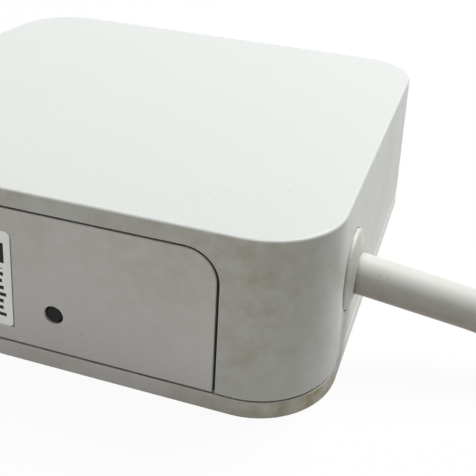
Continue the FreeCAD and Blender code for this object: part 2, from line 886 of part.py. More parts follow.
nut_blank = turned(doc.addObject("Part::Prism", "nut_blank"), "-X")
nut_blank.Polygon = 6
bind(nut_blank, Circumradius=s.nut_flats / math.sqrt(3), Height=s.nut_thickness)
place(nut_blank, boss_face_x, gland_y, gland_z)
nut_hole = rod(
    "nut_hole",
    "-X",
    boss_face_x + s.wall,
    gland_y,
    gland_z,
    s.gland_body_radius + s.fit_clearance,
    s.nut_thickness + 2 * s.wall,
)
keep(cut("gland_locknut", nut_blank, [nut_hole]), "gland_locknut")

clamp_front_y = gland_y - s.clamp_thickness
saddle_gap = s.loose_clearance
saddle = box(
    "saddle_blank",
    clamp_x - s.clamp_width / 2,
    clamp_front_y,
    gland_z - s.clamp_arm,
    s.clamp_width,
    anchor_front_y - saddle_gap - clamp_front_y,
    2 * s.clamp_arm,
)
saddle_groove = rod(
    "saddle_groove", "+X", clamp_x - s.clamp_width, gland_y, gland_z, bore_radius, 2 * s.clamp_width
)
saddle_mouth = box(
    "saddle_mouth",
    clamp_x - s.clamp_width,
    gland_y,
    gland_z - bore_radius,
    2 * s.clamp_width,
    s.clamp_thickness,
    2 * bore_radius,
)
saddle_holes = [
    rod(
        f"saddle_hole_{n}",
        "+Y",
        clamp_x,
        clamp_front_y - s.wall,
        gland_z + side * s.clamp_screw_spread,
        s.clamp_screw_radius + s.loose_clearance,
        4 * s.clamp_thickness,
    )
    for n, side in enumerate(CLAMP_SIDES)
]
keep(cut("cable_clamp", saddle, [saddle_groove, saddle_mouth, *saddle_holes]), "cable_clamp")


def screw(name, way, x, y, z, head_radius, head_height, shank_radius, shank_length):
    """A round-headed screw with a cross slot; its seat is at the point and its shank runs that way."""
    back = {"+Y": "-Y", "+Z": "-Z", "-Y": "+Y", "-Z": "+Z"}[way]
    head = rod(name + "_head", back, x, y, z, head_radius, head_height)
    shank = rod(name + "_shank", way, x, y, z, shank_radius, shank_length)
    solid = fused(name + "_solid", [head, shank])
    arm = head_radius * 0.7
    blade = head_radius / 5
    deep = head_height / 2
    sign = 1 if way[0] == "+" else -1
    cross = []
    for at, (wide, tall) in enumerate(((arm, blade), (blade, arm))):
        if way[1] == "Y":
            low_y = y - head_height - deep if sign > 0 else y + head_height - deep
            cross.append(box(f"{name}_cross_{at}", x - wide, low_y, z - tall, 2 * wide, 2 * deep, 2 * tall))
        else:
            low_z = z - head_height - deep if sign > 0 else z + head_height - deep
            cross.append(box(f"{name}_cross_{at}", x - wide, y - tall, low_z, 2 * wide, 2 * tall, 2 * deep))
    return cut(name, solid, cross)


clamp_screws = [
    screw(
        f"clamp_screw_{n}",
        "+Y",
        clamp_x,
        clamp_front_y,
        gland_z + side * s.clamp_screw_spread,
        s.clamp_head_radius,
        s.clamp_head_height,
        s.clamp_screw_radius,
        s.clamp_screw_length,
    )
    for n, side in enumerate(CLAMP_SIDES)
]
keep(group("clamp_screws", clamp_screws), "clamp_screws")

# Control board, cut back at the right front for the wiring bay, and its screws from below.
board = new_body("main_board")
board_outline = new_sketch(board, "board_outline", "XY_Plane", s.board_level)
plan(board_outline, board_length / 2, board_depth / 2, s.board_corner_radius)
for x, y in POSTS:
    circle(board_outline, x, y, s.board_hole_radius)
pad(board, board_outline, s.board_thickness)
bay = new_sketch(board, "board_bay", "XY_Plane", s.board_level)
outline(bay, s.bay_left, board_length, -board_depth, s.bay_back, s.board_thickness)
pocket(board, bay, s.board_thickness, reverse=True)
keep(board, "main_board")
board_screws = [
    screw(
        f"board_screw_{n}",
        "+Z",
        x,
        y,
        s.board_level,
        s.board_head_radius,
        s.board_head_height,
        s.board_screw_radius,
        s.board_screw_length,
    )
    for n, (x, y) in enumerate(POSTS)
]
keep(group("board_screws", board_screws), "board_screws")

# Terminal block: one row of poles, wire entries below and screws above, all reached from the front.
poles = [s.first_pole_x + n * s.pole_pitch for n in range(int(SIZES["pole_count"]))]
entry_z = board_top + s.entry_rise
terminal_screw_z = board_top + s.screw_rise
block_left = s.first_pole_x - s.pole_pitch / 2 - s.terminal_end
block_length = len(poles) * s.pole_pitch + 2 * s.terminal_end
block = box(
    "block_blank",
    block_left,
    terminal_face_y,
    board_top,
    block_length,
    s.terminal_depth,
    s.terminal_height,
)
cage_half = s.pole_pitch / 2 - s.terminal_end
cage_front_y = terminal_face_y + s.cage_set_back
cage_depth = s.terminal_depth / 3
cage_low = entry_z - s.entry_radius - s.loose_clearance
cage_height = terminal_screw_z + s.terminal_head_radius - cage_low
before_face_y = terminal_face_y - s.terminal_end
entry_depth = s.terminal_depth - 2 * s.terminal_end
access_radius = s.terminal_head_radius + s.loose_clearance
wire_radius = s.pin_radius + s.loose_clearance
thread_radius = s.terminal_screw_radius + s.fit_clearance
terminal_head_height = s.terminal_head_radius * 0.8
block_tools = []
cages = []
terminal_screws = []
for n, x in enumerate(poles):
    entry = rod(f"entry_{n}", "+Y", x, before_face_y, entry_z, s.entry_radius, entry_depth)
    access = rod(f"access_{n}", "+Y", x, before_face_y, terminal_screw_z, access_radius, entry_depth)
    room = box(
        f"cage_room_{n}",
        x - cage_half - s.loose_clearance,
        cage_front_y - s.loose_clearance,
        cage_low - s.loose_clearance,
        2 * (cage_half + s.loose_clearance),
        cage_depth + 2 * s.loose_clearance,
        cage_height + 2 * s.loose_clearance,
    )
    block_tools += [entry, access, room]
    cage_left = x - cage_half
    cage = box(f"cage_blank_{n}", cage_left, cage_front_y, cage_low, 2 * cage_half, cage_depth, cage_height)
    wire_hole = rod(f"cage_wire_{n}", "+Y", x, terminal_face_y, entry_z, wire_radius, s.terminal_depth)
    screw_hole = rod(
        f"cage_thread_{n}", "+Y", x, terminal_face_y, terminal_screw_z, thread_radius, s.terminal_depth
    )
    cages.append(cut(f"cage_{n}", cage, [wire_hole, screw_hole]))
    terminal_screws.append(
        screw(
            f"terminal_screw_{n}",
            "+Y",
            x,
            cage_front_y,
            terminal_screw_z,
            s.terminal_head_radius,
            terminal_head_height,
            s.terminal_screw_radius,
            cage_depth + s.terminal_end,
        )
    )
keep(cut("terminal_block", block, block_tools), "terminal_block")
keep(group("terminal_clamps", cages), "terminal_clamps")
keep(group("terminal_screws", terminal_screws), "terminal_screws")

# Parts on the board. Each stands on its top face.


def on_board(name, x, y, length, width, height):
    return box(name, x, y, board_top, length, width, height)


relay_2_x = post_x - s.post_radius - s.relay_post_gap - s.relay_width
relay_1_x = relay_2_x - s.relay_gap - s.relay_width
for name, x in (("relay_heating", relay_1_x), ("relay_water", relay_2_x)):
    keep(on_board(name, x, s.relay_y, s.relay_width, s.relay_length, s.relay_height), name)
power = on_board("power_module", s.power_x, s.power_y, s.power_length, s.power_width, s.power_height)
keep(power, "power_module")

fuse_z = board_top + s.fuse_rise
cap_length = s.fuse_length / 4
glass_radius = s.fuse_radius - s.loose_clearance
glass = rod("fuse_glass", "+Y", fuse_x, fuse_y, fuse_z, glass_radius, s.fuse_length)
caps = [
    rod("fuse_cap_front", "+Y", fuse_x, fuse_y, fuse_z, s.fuse_radius, cap_length),
    rod("fuse_cap_back", "-Y", fuse_x, fuse_y + s.fuse_length, fuse_z, s.fuse_radius, cap_length),
]
keep(fused("fuse", [glass, *caps]), "fuse")
clip_half = s.fuse_radius + s.clip_wall
clip_height = s.fuse_rise + s.fuse_radius / 2
mouth_half = s.fuse_radius * 0.9
seat_radius = s.fuse_radius + s.fit_clearance
clips = []
for n, y in enumerate((fuse_y + cap_length / 4, fuse_y + s.fuse_length - cap_length * 3 / 4)):
    before_y = y - cap_length
    blank = box(
        f"clip_blank_{n}", fuse_x - clip_half, y, board_top, 2 * clip_half, cap_length / 2, clip_height
    )
    seat = rod(f"clip_seat_{n}", "+Y", fuse_x, before_y, fuse_z, seat_radius, 3 * cap_length)
    mouth = box(
        f"clip_mouth_{n}",
        fuse_x - mouth_half,
        before_y,
        fuse_z,
        2 * mouth_half,
        3 * cap_length,
        s.fuse_rise,
    )
    clips.append(cut(f"clip_{n}", blank, [seat, mouth]))
keep(group("fuse_clips", clips), "fuse_clips")

inlet_x = fuse_x - s.fuse_length / 2
varistor = rod(
    "varistor_body",
    "+X",
    inlet_x - s.varistor_thickness,
    fuse_y + s.varistor_radius,
    board_top + s.varistor_radius + s.board_thickness / 2,
    s.varistor_radius,
    s.varistor_thickness,
)
varistor_legs = [
    rod(
        f"varistor_leg_{n}",
        "+Z",
        inlet_x - s.varistor_thickness / 2,
        fuse_y + s.varistor_radius * (1 + side / 2),
        board_top,
        s.component_leg_radius,
        s.varistor_radius / 2,
    )
    for n, side in enumerate((-1, 1))
]
keep(fused("varistor_solid", [varistor, *varistor_legs]), "varistor")
x2_y = fuse_y + s.x2_length * 0.85
x2 = on_board("x2_capacitor", inlet_x - s.x2_width, x2_y, s.x2_width, s.x2_length, s.x2_height)
keep(x2, "x2_capacitor")
power_right = s.power_x + s.power_length
capacitor_x = power_right + s.bulk_radius + s.relay_gap
capacitor_y = s.power_y + s.bulk_radius
bulk = rod("bulk_can", "+Z", capacitor_x, capacitor_y, board_top, s.bulk_radius, s.bulk_height)
keep(bulk, "bulk_capacitor")
output_y = capacitor_y + s.bulk_radius + s.output_radius + s.relay_gap
output = rod("output_can", "+Z", capacitor_x, output_y, board_top, s.output_radius, s.output_height)
keep(output, "output_capacitor")

radio = on_board(
    "radio_board", radio_x, s.radio_y, s.radio_length, s.radio_width, s.radio_board_thickness
)
keep(radio, "radio_board")
shield_z = board_top + s.radio_board_thickness
keep(
    box(
        "radio_shield",
        radio_x + s.shield_inset,
        s.radio_y + s.shield_inset,
        shield_z,
        s.radio_length - 4 * s.shield_inset,
        s.radio_width - 2 * s.shield_inset,
        s.shield_height,
    ),
    "radio_shield",
)
chip_y = terminal_face_y
chip = on_board("microcontroller", chip_x, chip_y, s.chip_size, s.chip_size, s.chip_height)
keep(chip, "microcontroller")
crystal_y = chip_y + s.chip_size + s.relay_gap
keep(on_board("crystal", chip_x, crystal_y, s.chip_size, s.crystal_width, s.crystal_height), "crystal")
RESISTORS_IN_ROW = 4
resistors = [
    on_board(
        f"resistor_{n}",
        chip_x + (n % RESISTORS_IN_ROW) * 2 * s.resistor_length,
        chip_y - (1 + n // RESISTORS_IN_ROW) * 2 * s.resistor_width,
        s.resistor_length,
        s.resistor_width,
        s.resistor_height,
    )
    for n in range(2 * RESISTORS_IN_ROW)
]
keep(group("board_resistors", resistors), "board_resistors")
diodes = [
    rod(
        f"diode_{n}",
        "+X",
        x + s.relay_width / 4,
        s.relay_y - s.relay_gap,
        board_top + s.diode_radius,
        s.diode_radius,
        s.relay_width / 2,
    )
    for n, x in enumerate((relay_1_x, relay_2_x))
]
keep(group("flyback_diodes", diodes), "flyback_diodes")

# Reset switch at the board's front edge. Its stem stops behind the hole in the cover.
switch_axis_z = s.reset_hole_z
stem_tip_y = front_inside(s.reset_hole_z) + s.switch_stem_gap
board_front_y = -board_depth / 2
switch_y = board_front_y + s.board_thickness
switch_x = s.reset_hole_x - s.switch_size / 2
switch_body = on_board("switch_blank", switch_x, switch_y, s.switch_size, s.switch_size, s.switch_height)
stem_room = s.switch_stem_radius + s.fit_clearance
flange_room = s.switch_flange_radius + s.fit_clearance
bore_length = s.wall + s.switch_size / 2
bore_y = switch_y - s.wall
stem_bore = rod("switch_bore", "+Y", s.reset_hole_x, bore_y, switch_axis_z, stem_room, bore_length)
flange_start_y = switch_y + s.switch_flange_length
flange_bore = rod(
    "switch_flange_bore",
    "+Y",
    s.reset_hole_x,
    flange_start_y,
    switch_axis_z,
    flange_room,
    s.switch_flange_length + s.switch_travel + s.fit_clearance,
)
keep(cut("reset_switch", switch_body, [stem_bore, flange_bore]), "reset_switch")
stem = rod(
    "stem_rod",
    "+Y",
    s.reset_hole_x,
    stem_tip_y,
    switch_axis_z,
    s.switch_stem_radius,
    flange_start_y - stem_tip_y + s.switch_flange_length,
)
stem_flange = rod(
    "stem_flange",
    "+Y",
    s.reset_hole_x,
    flange_start_y + s.fit_clearance / 5,
    switch_axis_z,
    s.switch_flange_radius,
    s.switch_flange_length - s.fit_clearance / 5,
)
keep(fused("reset_button", [stem, stem_flange]), "reset_button")
led_x = switch_x - 2 * s.led_length
led = on_board("led_body", led_x, switch_y, s.led_length, s.led_width, s.led_height)
keep(led, "status_led")

# The fitted flex: its sheath from the clamp out through the gland.
keep(tube("cable_entry", entry_edges, cable_radius), "cable_entry")

# Cores inside: each leaves the sheath straight, drops to its terminal and turns into it.
CORE_ANGLES = {"core_brown": 90, "core_blue": 210, "core_earth": 330}
CORE_REACH = {"core_brown": mm.brown_reach, "core_blue": mm.blue_reach, "core_earth": mm.earth_reach}
brown_turn = sheath_end + vec(-mm.brown_turn_in, -mm.brown_turn_aside, mm.brown_turn_rise)
FIRST_TURN = {"core_brown": [brown_turn], "core_blue": [], "core_earth": []}
core_end_y = terminal_face_y - s.terminal_end / 2
sleeve_radius = s.core_radius + s.fit_clearance
ferrules = []
for pole, (label, angle) in enumerate(CORE_ANGLES.items()):
    turn = math.radians(angle)
    start = sheath_end + vec(0, math.cos(turn), math.sin(turn)) * mm.core_circle
    straight_end = start - vec(mm.core_straight, 0, 0)
    pole_x = float(poles[pole])
    end = vec(pole_x, float(core_end_y), float(entry_z))
    before_end = end - vec(0, CORE_REACH[label], 0)
    core_points = [start, straight_end, *FIRST_TURN[label], before_end, end]
    core_edges, core_radii = path_through(core_points)
    print(label, "bend radii", core_radii)
    keep(tube(label, core_edges, mm.core_radius), label)
    collar = rod(
        f"collar_{pole}",
        "-Y",
        poles[pole],
        core_end_y + s.terminal_end / 3,
        entry_z,
        s.collar_radius,
        s.collar_length,
    )
    collar_bore = rod(
        f"collar_bore_{pole}", "-Y", poles[pole], core_end_y, entry_z, sleeve_radius, s.collar_length * 2
    )
    pin = rod(f"pin_{pole}", "+Y", poles[pole], core_end_y, entry_z, s.pin_radius, s.pin_length)
    ferrules.append(fused(f"ferrule_{pole}", [cut(f"sleeve_{pole}", collar, [collar_bore]), pin]))
keep(group("core_ferrules", ferrules), "core_ferrules")

# Aerial: a wire up from the radio board and along the left wall.
aerial_x = float(radio_x) + mm.shield_inset / 2
aerial_y = mm.radio_y + mm.radio_width - mm.shield_inset
aerial_foot = vec(aerial_x, aerial_y, float(shield_z))
aerial_top = aerial_foot + vec(0, 0, mm.antenna_rise)
aerial_end = aerial_top + vec(0, mm.antenna_run, 0)
aerial_edges = path_through([aerial_foot, aerial_top, aerial_end], radius=mm.antenna_bend)[0]
keep(tube("antenna", aerial_edges, mm.antenna_radius), "antenna")

# The free flex outside: down from the gland and along the surface to the coil.
floor_z = mm.cable_lift + cable_radius
route = [cable_exit, cable_exit + exit_way * mm.cable_first_run]
route += [vec(x, y, floor_z) for x, y in CABLE_FLOOR_POINTS]
print("route", [tuple(round(c, 2) for c in point) for point in route])
cable_edges, cable_radii = path_through(route)
print("supply_cable bend radii", cable_radii)
keep(tube("supply_cable", cable_edges, cable_radius), "supply_cable")

# The coil: a spiral in on the lower layer and out on the upper one, climbing where the spiral reverses.
half_turns = mm.coil_turns / 2
outer_radius = mm.coil_mean_radius + mm.coil_pitch * half_turns / 2
per_radian = mm.coil_pitch / (2 * math.pi)
run_way = unit(route[-1] - route[-2])
draw_in = math.atan2(per_radian, outer_radius)
coil_heading = FreeCAD.Rotation(vec(0, 0, 1), -math.degrees(draw_in)).multVec(run_way)
coil_side = vec(-coil_heading.y, coil_heading.x, 0)
coil_centre = route[-1] + run_way * mm.cable_diameter + coil_side * outer_radius
reversal = half_turns * 2 * math.pi
soft = math.pi / 4


def spiral_radius(turned_by):
    """Radius after an angle: steady in and out again, with a short smooth stretch at the reversal."""
    away = abs(turned_by - reversal)
    if away < soft:
        away = away**2 / (2 * soft) + soft / 2
    return outer_radius - per_radian * (reversal - away)


SMALL_TURN = 1e-4


def climb(turned_by):
    step = min(max((turned_by - reversal + math.pi / 2) / math.pi, 0), 1)
    return mm.coil_layer * step * step * (3 - 2 * step)


def round_coil(turned_by, radius, height):
    """A point by its angle round the coil, its distance from the centre and its height."""
    flat = coil_heading * (radius * math.sin(turned_by)) - coil_side * (radius * math.cos(turned_by))
    return vec(coil_centre.x + flat.x, coil_centre.y + flat.y, height)


def coil_point(turned_by):
    return round_coil(turned_by, spiral_radius(turned_by), coil_centre.z + climb(turned_by))


def coil_tangent(turned_by):
    return unit(coil_point(turned_by + SMALL_TURN) - coil_point(turned_by - SMALL_TURN))


def biarc(p0, t0, p1, t1):
    """Two arcs that join two points with given tangents."""
    chord = p1 - p0
    spread = 2 * (1 - t0.dot(t1))
    along = chord.dot(t0 + t1)
    reach = (-along + math.sqrt(along**2 + spread * chord.dot(chord))) / spread
    q0, q1 = p0 + t0 * reach, p1 - t1 * reach
    joint = (q0 + q1) * 0.5
    return [arc_between(p0, q0, joint), arc_between(joint, q1, p1)]


quarters = int(4 * mm.coil_turns)
stations = [n * math.pi / 2 for n in range(quarters + 1)]
coil_edges = [Part.LineSegment(route[-1], coil_point(0)).toShape()]
for a, b in zip(stations, stations[1:]):
    coil_edges += biarc(coil_point(a), coil_tangent(a), coil_point(b), coil_tangent(b))
coil_end_way = coil_tangent(stations[-1])
lead_out = coil_point(stations[-1]) + coil_end_way * mm.cable_diameter
coil_edges.append(Part.LineSegment(coil_point(stations[-1]), lead_out).toShape())
keep(tube("cable_coil", coil_edges, cable_radius), "cable_coil")
print("coil centre", tuple(round(c, 2) for c in coil_centre), "outer radius", round(outer_radius, 2))
print("coil: turn where it starts", round(math.degrees(run_way.getAngle(coil_tangent(0))), 3))

step = 0.03
samples = [coil_point(n * step) for n in range(int(stations[-1] / step) + 1)]
skip = int(math.pi / 2 / step)
least = min(
    (samples[i] - samples[j]).Length
    for i in range(0, len(samples), 3)
    for j in range(i + skip, len(samples))
)
print("coil: least gap between its turns", round(least - mm.cable_diameter, 3))

# Tie: a band round all turns at one side of the coil, with its head on top. It reaches the surface below.
tie_turn = math.radians(mm.tie_angle)
tie_out = coil_heading * math.sin(tie_turn) - coil_side * math.cos(tie_turn)
TIE_REACH = 0.1
tie_radii = []
for n in range(len(samples)):
    off = (n * step - tie_turn + math.pi) % (2 * math.pi) - math.pi
    if abs(off) < TIE_REACH:
        tie_radii.append(spiral_radius(n * step))
room = cable_radius + mm.tie_slack
tie_inner = min(tie_radii) - room
tie_outer = max(tie_radii) + room
tie_low = mm.tie_thickness
tie_high = mm.cable_lift + mm.cable_diameter + mm.coil_layer + mm.tie_slack
tie_heading = FreeCAD.Rotation(vec(0, 0, 1), math.degrees(math.atan2(tie_out.y, tie_out.x)))
tie_frame = FreeCAD.Placement(vec(coil_centre.x, coil_centre.y, 0), tie_heading)


def band(extra, bottom, wide):
    shape = Part.makeBox(
        tie_outer - tie_inner + 2 * extra,
        wide,
        tie_high - tie_low + extra + bottom,
        vec(tie_inner - extra, -wide / 2, tie_low - bottom),
    )
    along = [edge for edge in shape.Edges if edge.BoundBox.YLength > wide / 2]
    return shape.makeFillet(cable_radius * 0.6 + extra, along)


tie_band = band(mm.tie_thickness, mm.tie_thickness, mm.tie_width).cut(band(0, 0, 3 * mm.tie_width))
tie_head_z = tie_high + mm.tie_thickness / 2
tie_head = Part.makeBox(
    mm.tie_head,
    mm.tie_width + 2 * mm.tie_thickness,
    mm.tie_head_height,
    vec((tie_inner + tie_outer - mm.tie_head) / 2, -mm.tie_width / 2 - mm.tie_thickness, tie_head_z),
)
tie = doc.addObject("Part::Feature", "cable_tie")
tie.Shape = tie_band.fuse(tie_head).removeSplitter()
tie.Placement = tie_frame
keep(tie, "cable_tie")

# The flex's far end: its cores, in ferrules, run on above the turn below and spread apart.
LEAD_RUNS = 3
lead_first_run = mm.lead_core_length / (1 + 2 * LEAD_RUNS)
lead_straight = mm.cable_diameter + lead_first_run
lead_turn = math.atan2(lead_straight, outer_radius)
lead_radius = math.hypot(lead_straight, outer_radius)
side_way = unit(coil_end_way.cross(vec(0, 0, 1)))
core_ends = []
for n, label in enumerate(("lead_core_brown", "lead_core_blue", "lead_core_earth")):
    around = math.radians(90 + 120 * n)
    aside = mm.core_circle * math.cos(around)
    above = mm.core_circle * math.sin(around)
    start = lead_out + side_way * aside + vec(0, 0, above)
    points = [start, start + coil_end_way * lead_first_run]
    for k in range(1, LEAD_RUNS + 1):
        angle = stations[-1] + lead_turn + k * 2 * lead_first_run / outer_radius
        spread = 1 + k * mm.lead_core_spread / LEAD_RUNS
        radius = lead_radius + (outer_radius - lead_radius) * k / LEAD_RUNS + aside * spread
        height = lead_out.z - mm.lead_core_sink * k / LEAD_RUNS + above * spread
        points.append(round_coil(angle, radius, height))
    lead_edges, lead_radii = path_through(points)
    print(label, "bend radii", lead_radii)
    keep(tube(label, lead_edges, mm.core_radius), label)
    core_ends.append((points[-1], unit(points[-1] - points[-2])))
lead_ferrules = []
for end, way in core_ends:
    collar_start = end - way * (mm.collar_length - mm.terminal_end / 3)
    collar = Part.makeCylinder(mm.collar_radius, mm.collar_length, collar_start, way)
    bore = Part.makeCylinder(float(sleeve_radius), mm.collar_length, end - way * mm.collar_length, way)
    pin = Part.makeCylinder(mm.pin_radius, mm.pin_length, end, way)
    lead_ferrules.append(collar.cut(bore).fuse(pin).removeSplitter())
ferrule_group = doc.addObject("Part::Feature", "lead_ferrules")
ferrule_group.Shape = Part.makeCompound(lead_ferrules)
keep(ferrule_group, "lead_ferrules")

doc.recompute()
for piece in doc.Objects:
    if "Invalid" in piece.State or "Error" in piece.State:
        raise RuntimeError(f"{piece.Label} failed: {piece.State}")
for node in nodes:
    if node.Shape.isNull() or not node.Shape.isValid():
        raise RuntimeError(f"{node.Label} has no valid shape")
os.makedirs("parts", exist_ok=True)
for node in nodes:
    node.Shape.exportStep(os.path.join("parts", node.Label + ".step"))
    print(f"{node.Label}: {len(node.Shape.Solids)} solid(s), volume {node.Shape.Volume:.2f}")
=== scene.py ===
# %% [markdown]
# # A heating controller on a white table
#
# The object is a wall-plate receiver box for a heating system: a white moulded shell on a back plate, a
# pull-off panel in front of the terminals, and a white supply flex that leaves through a bush on the right.
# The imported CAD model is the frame. This lesson adds the camera, the flex, the finishes and the light.

# %% Load the frame
import math

import bmesh
import bpy
from mathutils import Matrix, Vector


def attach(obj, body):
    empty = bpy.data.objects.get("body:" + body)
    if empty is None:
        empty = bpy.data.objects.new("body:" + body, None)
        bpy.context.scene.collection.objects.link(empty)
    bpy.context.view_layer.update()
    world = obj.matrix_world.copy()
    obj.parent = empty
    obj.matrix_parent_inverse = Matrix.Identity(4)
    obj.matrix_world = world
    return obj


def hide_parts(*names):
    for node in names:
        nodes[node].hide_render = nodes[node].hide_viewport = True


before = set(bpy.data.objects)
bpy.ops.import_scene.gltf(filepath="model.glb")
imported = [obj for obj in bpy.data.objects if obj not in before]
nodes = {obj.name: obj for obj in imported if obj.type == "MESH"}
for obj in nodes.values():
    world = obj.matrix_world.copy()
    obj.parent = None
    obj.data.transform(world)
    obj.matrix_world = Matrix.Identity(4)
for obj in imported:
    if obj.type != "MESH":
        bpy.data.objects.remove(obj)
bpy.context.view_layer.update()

scene = bpy.context.scene
scene.view_settings.view_transform = "Standard"

# %% [markdown]
# ## The camera
#
# The camera comes first, because everything else is judged through it. Its place, tilt and focal length
# were worked out from the outline of the box: it looks down at the right front corner from quite near, so
# the far edges run together. A small shift moves the frame sideways, as a crop of a wider picture does.

# %% Camera
camera_data = bpy.data.cameras.new("camera")
camera = bpy.data.objects.new("camera", camera_data)
scene.collection.objects.link(camera)
camera.location = (0.06435, -0.13271, 0.08542)
camera.rotation_euler = [math.radians(angle) for angle in (59.289, -3.250, 17.255)]
camera_data.sensor_width = 36
camera_data.lens = 55.03
camera_data.shift_x = -0.0545
camera_data.shift_y = 0.0038
camera_data.clip_start = 0.005
scene.camera = camera
print("camera: lens", round(camera_data.lens, 2), "mm")

# %% [markdown]
# ## The flex
#
# The flex is a round three-core cable of 7.3 mm. It comes out of the bush in a shallow fall, lies down
# beside the box and is wound into a put-away coil that the picture doesn't show. A flex has one smooth
# curve with no corners, so its line is a NURBS spline: each point pulls the line towards it. The turns of
# the coil come from a loop, with sixteen points a turn. They stand a little outside the turn, because the
# spline cuts inside its points.

# %% Route of the flex, in metres
FLEX_DIAMETER = 0.0073
FLEX_EXIT = (0.0525, -0.0264, 0.01749)
FLEX_ROUTE = [FLEX_EXIT, (0.07706, -0.02105, 0.01085), (0.1020, -0.0240, 0.00465),
              (0.1200, -0.0290, 0.00465)]
STRAIGHT_TO = (0.0667, -0.0233, 0.01365)
COIL_TURNS = 5
COIL_PITCH = 0.0078
COIL_LAYER = 0.0078
COIL_RADIUS = 0.04895
POINTS_PER_TURN = 16
SMALL_ANGLE = 1e-4

run = (Vector(FLEX_ROUTE[-1]) - Vector(FLEX_ROUTE[-2])).normalized()
drift = COIL_PITCH / (2 * math.pi)
heading = Matrix.Rotation(-math.atan2(drift, COIL_RADIUS), 3, "Z") @ run
inward = Vector((-heading.y, heading.x, 0))
coil_centre = Vector(FLEX_ROUTE[-1]) + run * FLEX_DIAMETER + inward * COIL_RADIUS
coil_end = COIL_TURNS * 2 * math.pi
reversal = coil_end / 2


def around_coil(angle, radius, height):
    """A point by its angle round the coil, its distance from the middle and its height."""
    flat = heading * (radius * math.sin(angle)) - inward * (radius * math.cos(angle))
    return Vector((coil_centre.x + flat.x, coil_centre.y + flat.y, height))


def turn_radius(angle):
    """The turns draw in on the lower layer and go out again on the upper one."""
    away, soft = abs(angle - reversal), math.pi / 4
    if away < soft:
        away = away**2 / (2 * soft) + soft / 2
    return COIL_RADIUS - drift * (reversal - away)


def turn_height(angle):
    """The flex lies on the lower layer, then climbs to the upper one over half a turn."""
    share = min(max((angle - reversal + math.pi / 2) / math.pi, 0), 1)
    return coil_centre.z + COIL_LAYER * share * share * (3 - 2 * share)


step = 2 * math.pi / POINTS_PER_TURN
coil_points = []
for k in range(COIL_TURNS * POINTS_PER_TURN):
    angle = (k + 0.5) * step
    coil_points.append(around_coil(angle, turn_radius(angle) / math.cos(step / 2), turn_height(angle)))
last_turn = around_coil(coil_end, COIL_RADIUS, coil_centre.z + COIL_LAYER)
before_end = coil_end - SMALL_ANGLE
before = around_coil(before_end, turn_radius(before_end), coil_centre.z + COIL_LAYER)
end_way = (last_turn - before).normalized()
flex_end = last_turn + end_way * FLEX_DIAMETER


# %% Flex
def smooth_line(name, points, diameter):
    """A round cord of that diameter along one smooth spline."""
    line = bpy.data.curves.new(name, "CURVE")
    line.dimensions = "3D"
    line.bevel_depth = 1.0
    line.bevel_resolution = 8
    line.resolution_u = 8
    line.use_fill_caps = True
    spline = line.splines.new("NURBS")
    spline.points.add(len(points) - 1)
    for place, point in zip(spline.points, points):
        place.co = (*point, 1)
        place.radius = diameter / 2
    spline.order_u = 3
    spline.use_endpoint_u = True
    cord = bpy.data.objects.new(name, line)
    scene.collection.objects.link(cord)
    return cord


flex = smooth_line("supply_flex", [FLEX_EXIT, STRAIGHT_TO, *FLEX_ROUTE[1:], *coil_points, flex_end],
                   FLEX_DIAMETER)
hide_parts("supply_cable", "cable_coil")
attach(flex, "main_unit")
print("flex:", len(FLEX_ROUTE), "route points and", len(coil_points), "in the coil")

# %% [markdown]
# At its far end the sheath is stripped. Three cores run on above the turn below, spread apart, and end in
# crimped ferrules. They are thinner cords of the same kind, so the same function makes them.

# %% Bare cores at the far end
CORE_DIAMETER = 0.0024
CORE_CIRCLE = 0.0015
CORE_LENGTH = 0.042
CORE_SPREAD = 0.6
CORE_SINK = 0.00085
CORE_RUNS = 3
first_run = CORE_LENGTH / (1 + 2 * CORE_RUNS)
straight = FLEX_DIAMETER + first_run
start_angle = coil_end + math.atan2(straight, COIL_RADIUS)
start_radius = math.hypot(straight, COIL_RADIUS)
sideways = end_way.cross(Vector((0, 0, 1))).normalized()
lead_cores = {}
for n, colour in enumerate(("brown", "blue", "earth")):
    around = math.radians(90 + 120 * n)
    aside, above = CORE_CIRCLE * math.cos(around), CORE_CIRCLE * math.sin(around)
    start = flex_end + sideways * aside + Vector((0, 0, above))
    points = [start, start + end_way * first_run]
    for k in range(1, CORE_RUNS + 1):
        share = k / CORE_RUNS
        spread = 1 + share * CORE_SPREAD
        angle = start_angle + k * 2 * first_run / COIL_RADIUS
        radius = start_radius + (COIL_RADIUS - start_radius) * share + aside * spread
        points.append(around_coil(angle, radius, flex_end.z - CORE_SINK * share + above * spread))
    core = smooth_line(f"flex_core_{colour}", points, CORE_DIAMETER)
    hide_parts(f"lead_core_{colour}")
    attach(core, "main_unit")
    lead_cores[colour] = core
print("cores:", len(lead_cores))

# %% [markdown]
# ## Cords inside the box
#
# Behind the panel the sheath ends at its clamp and the three cores drop to their terminals. The radio's
# aerial is a sleeved wire that stands up beside its shield and turns along the wall. They are fixed at both
# ends, so they are plain smooth lines along the routes of the CAD model.

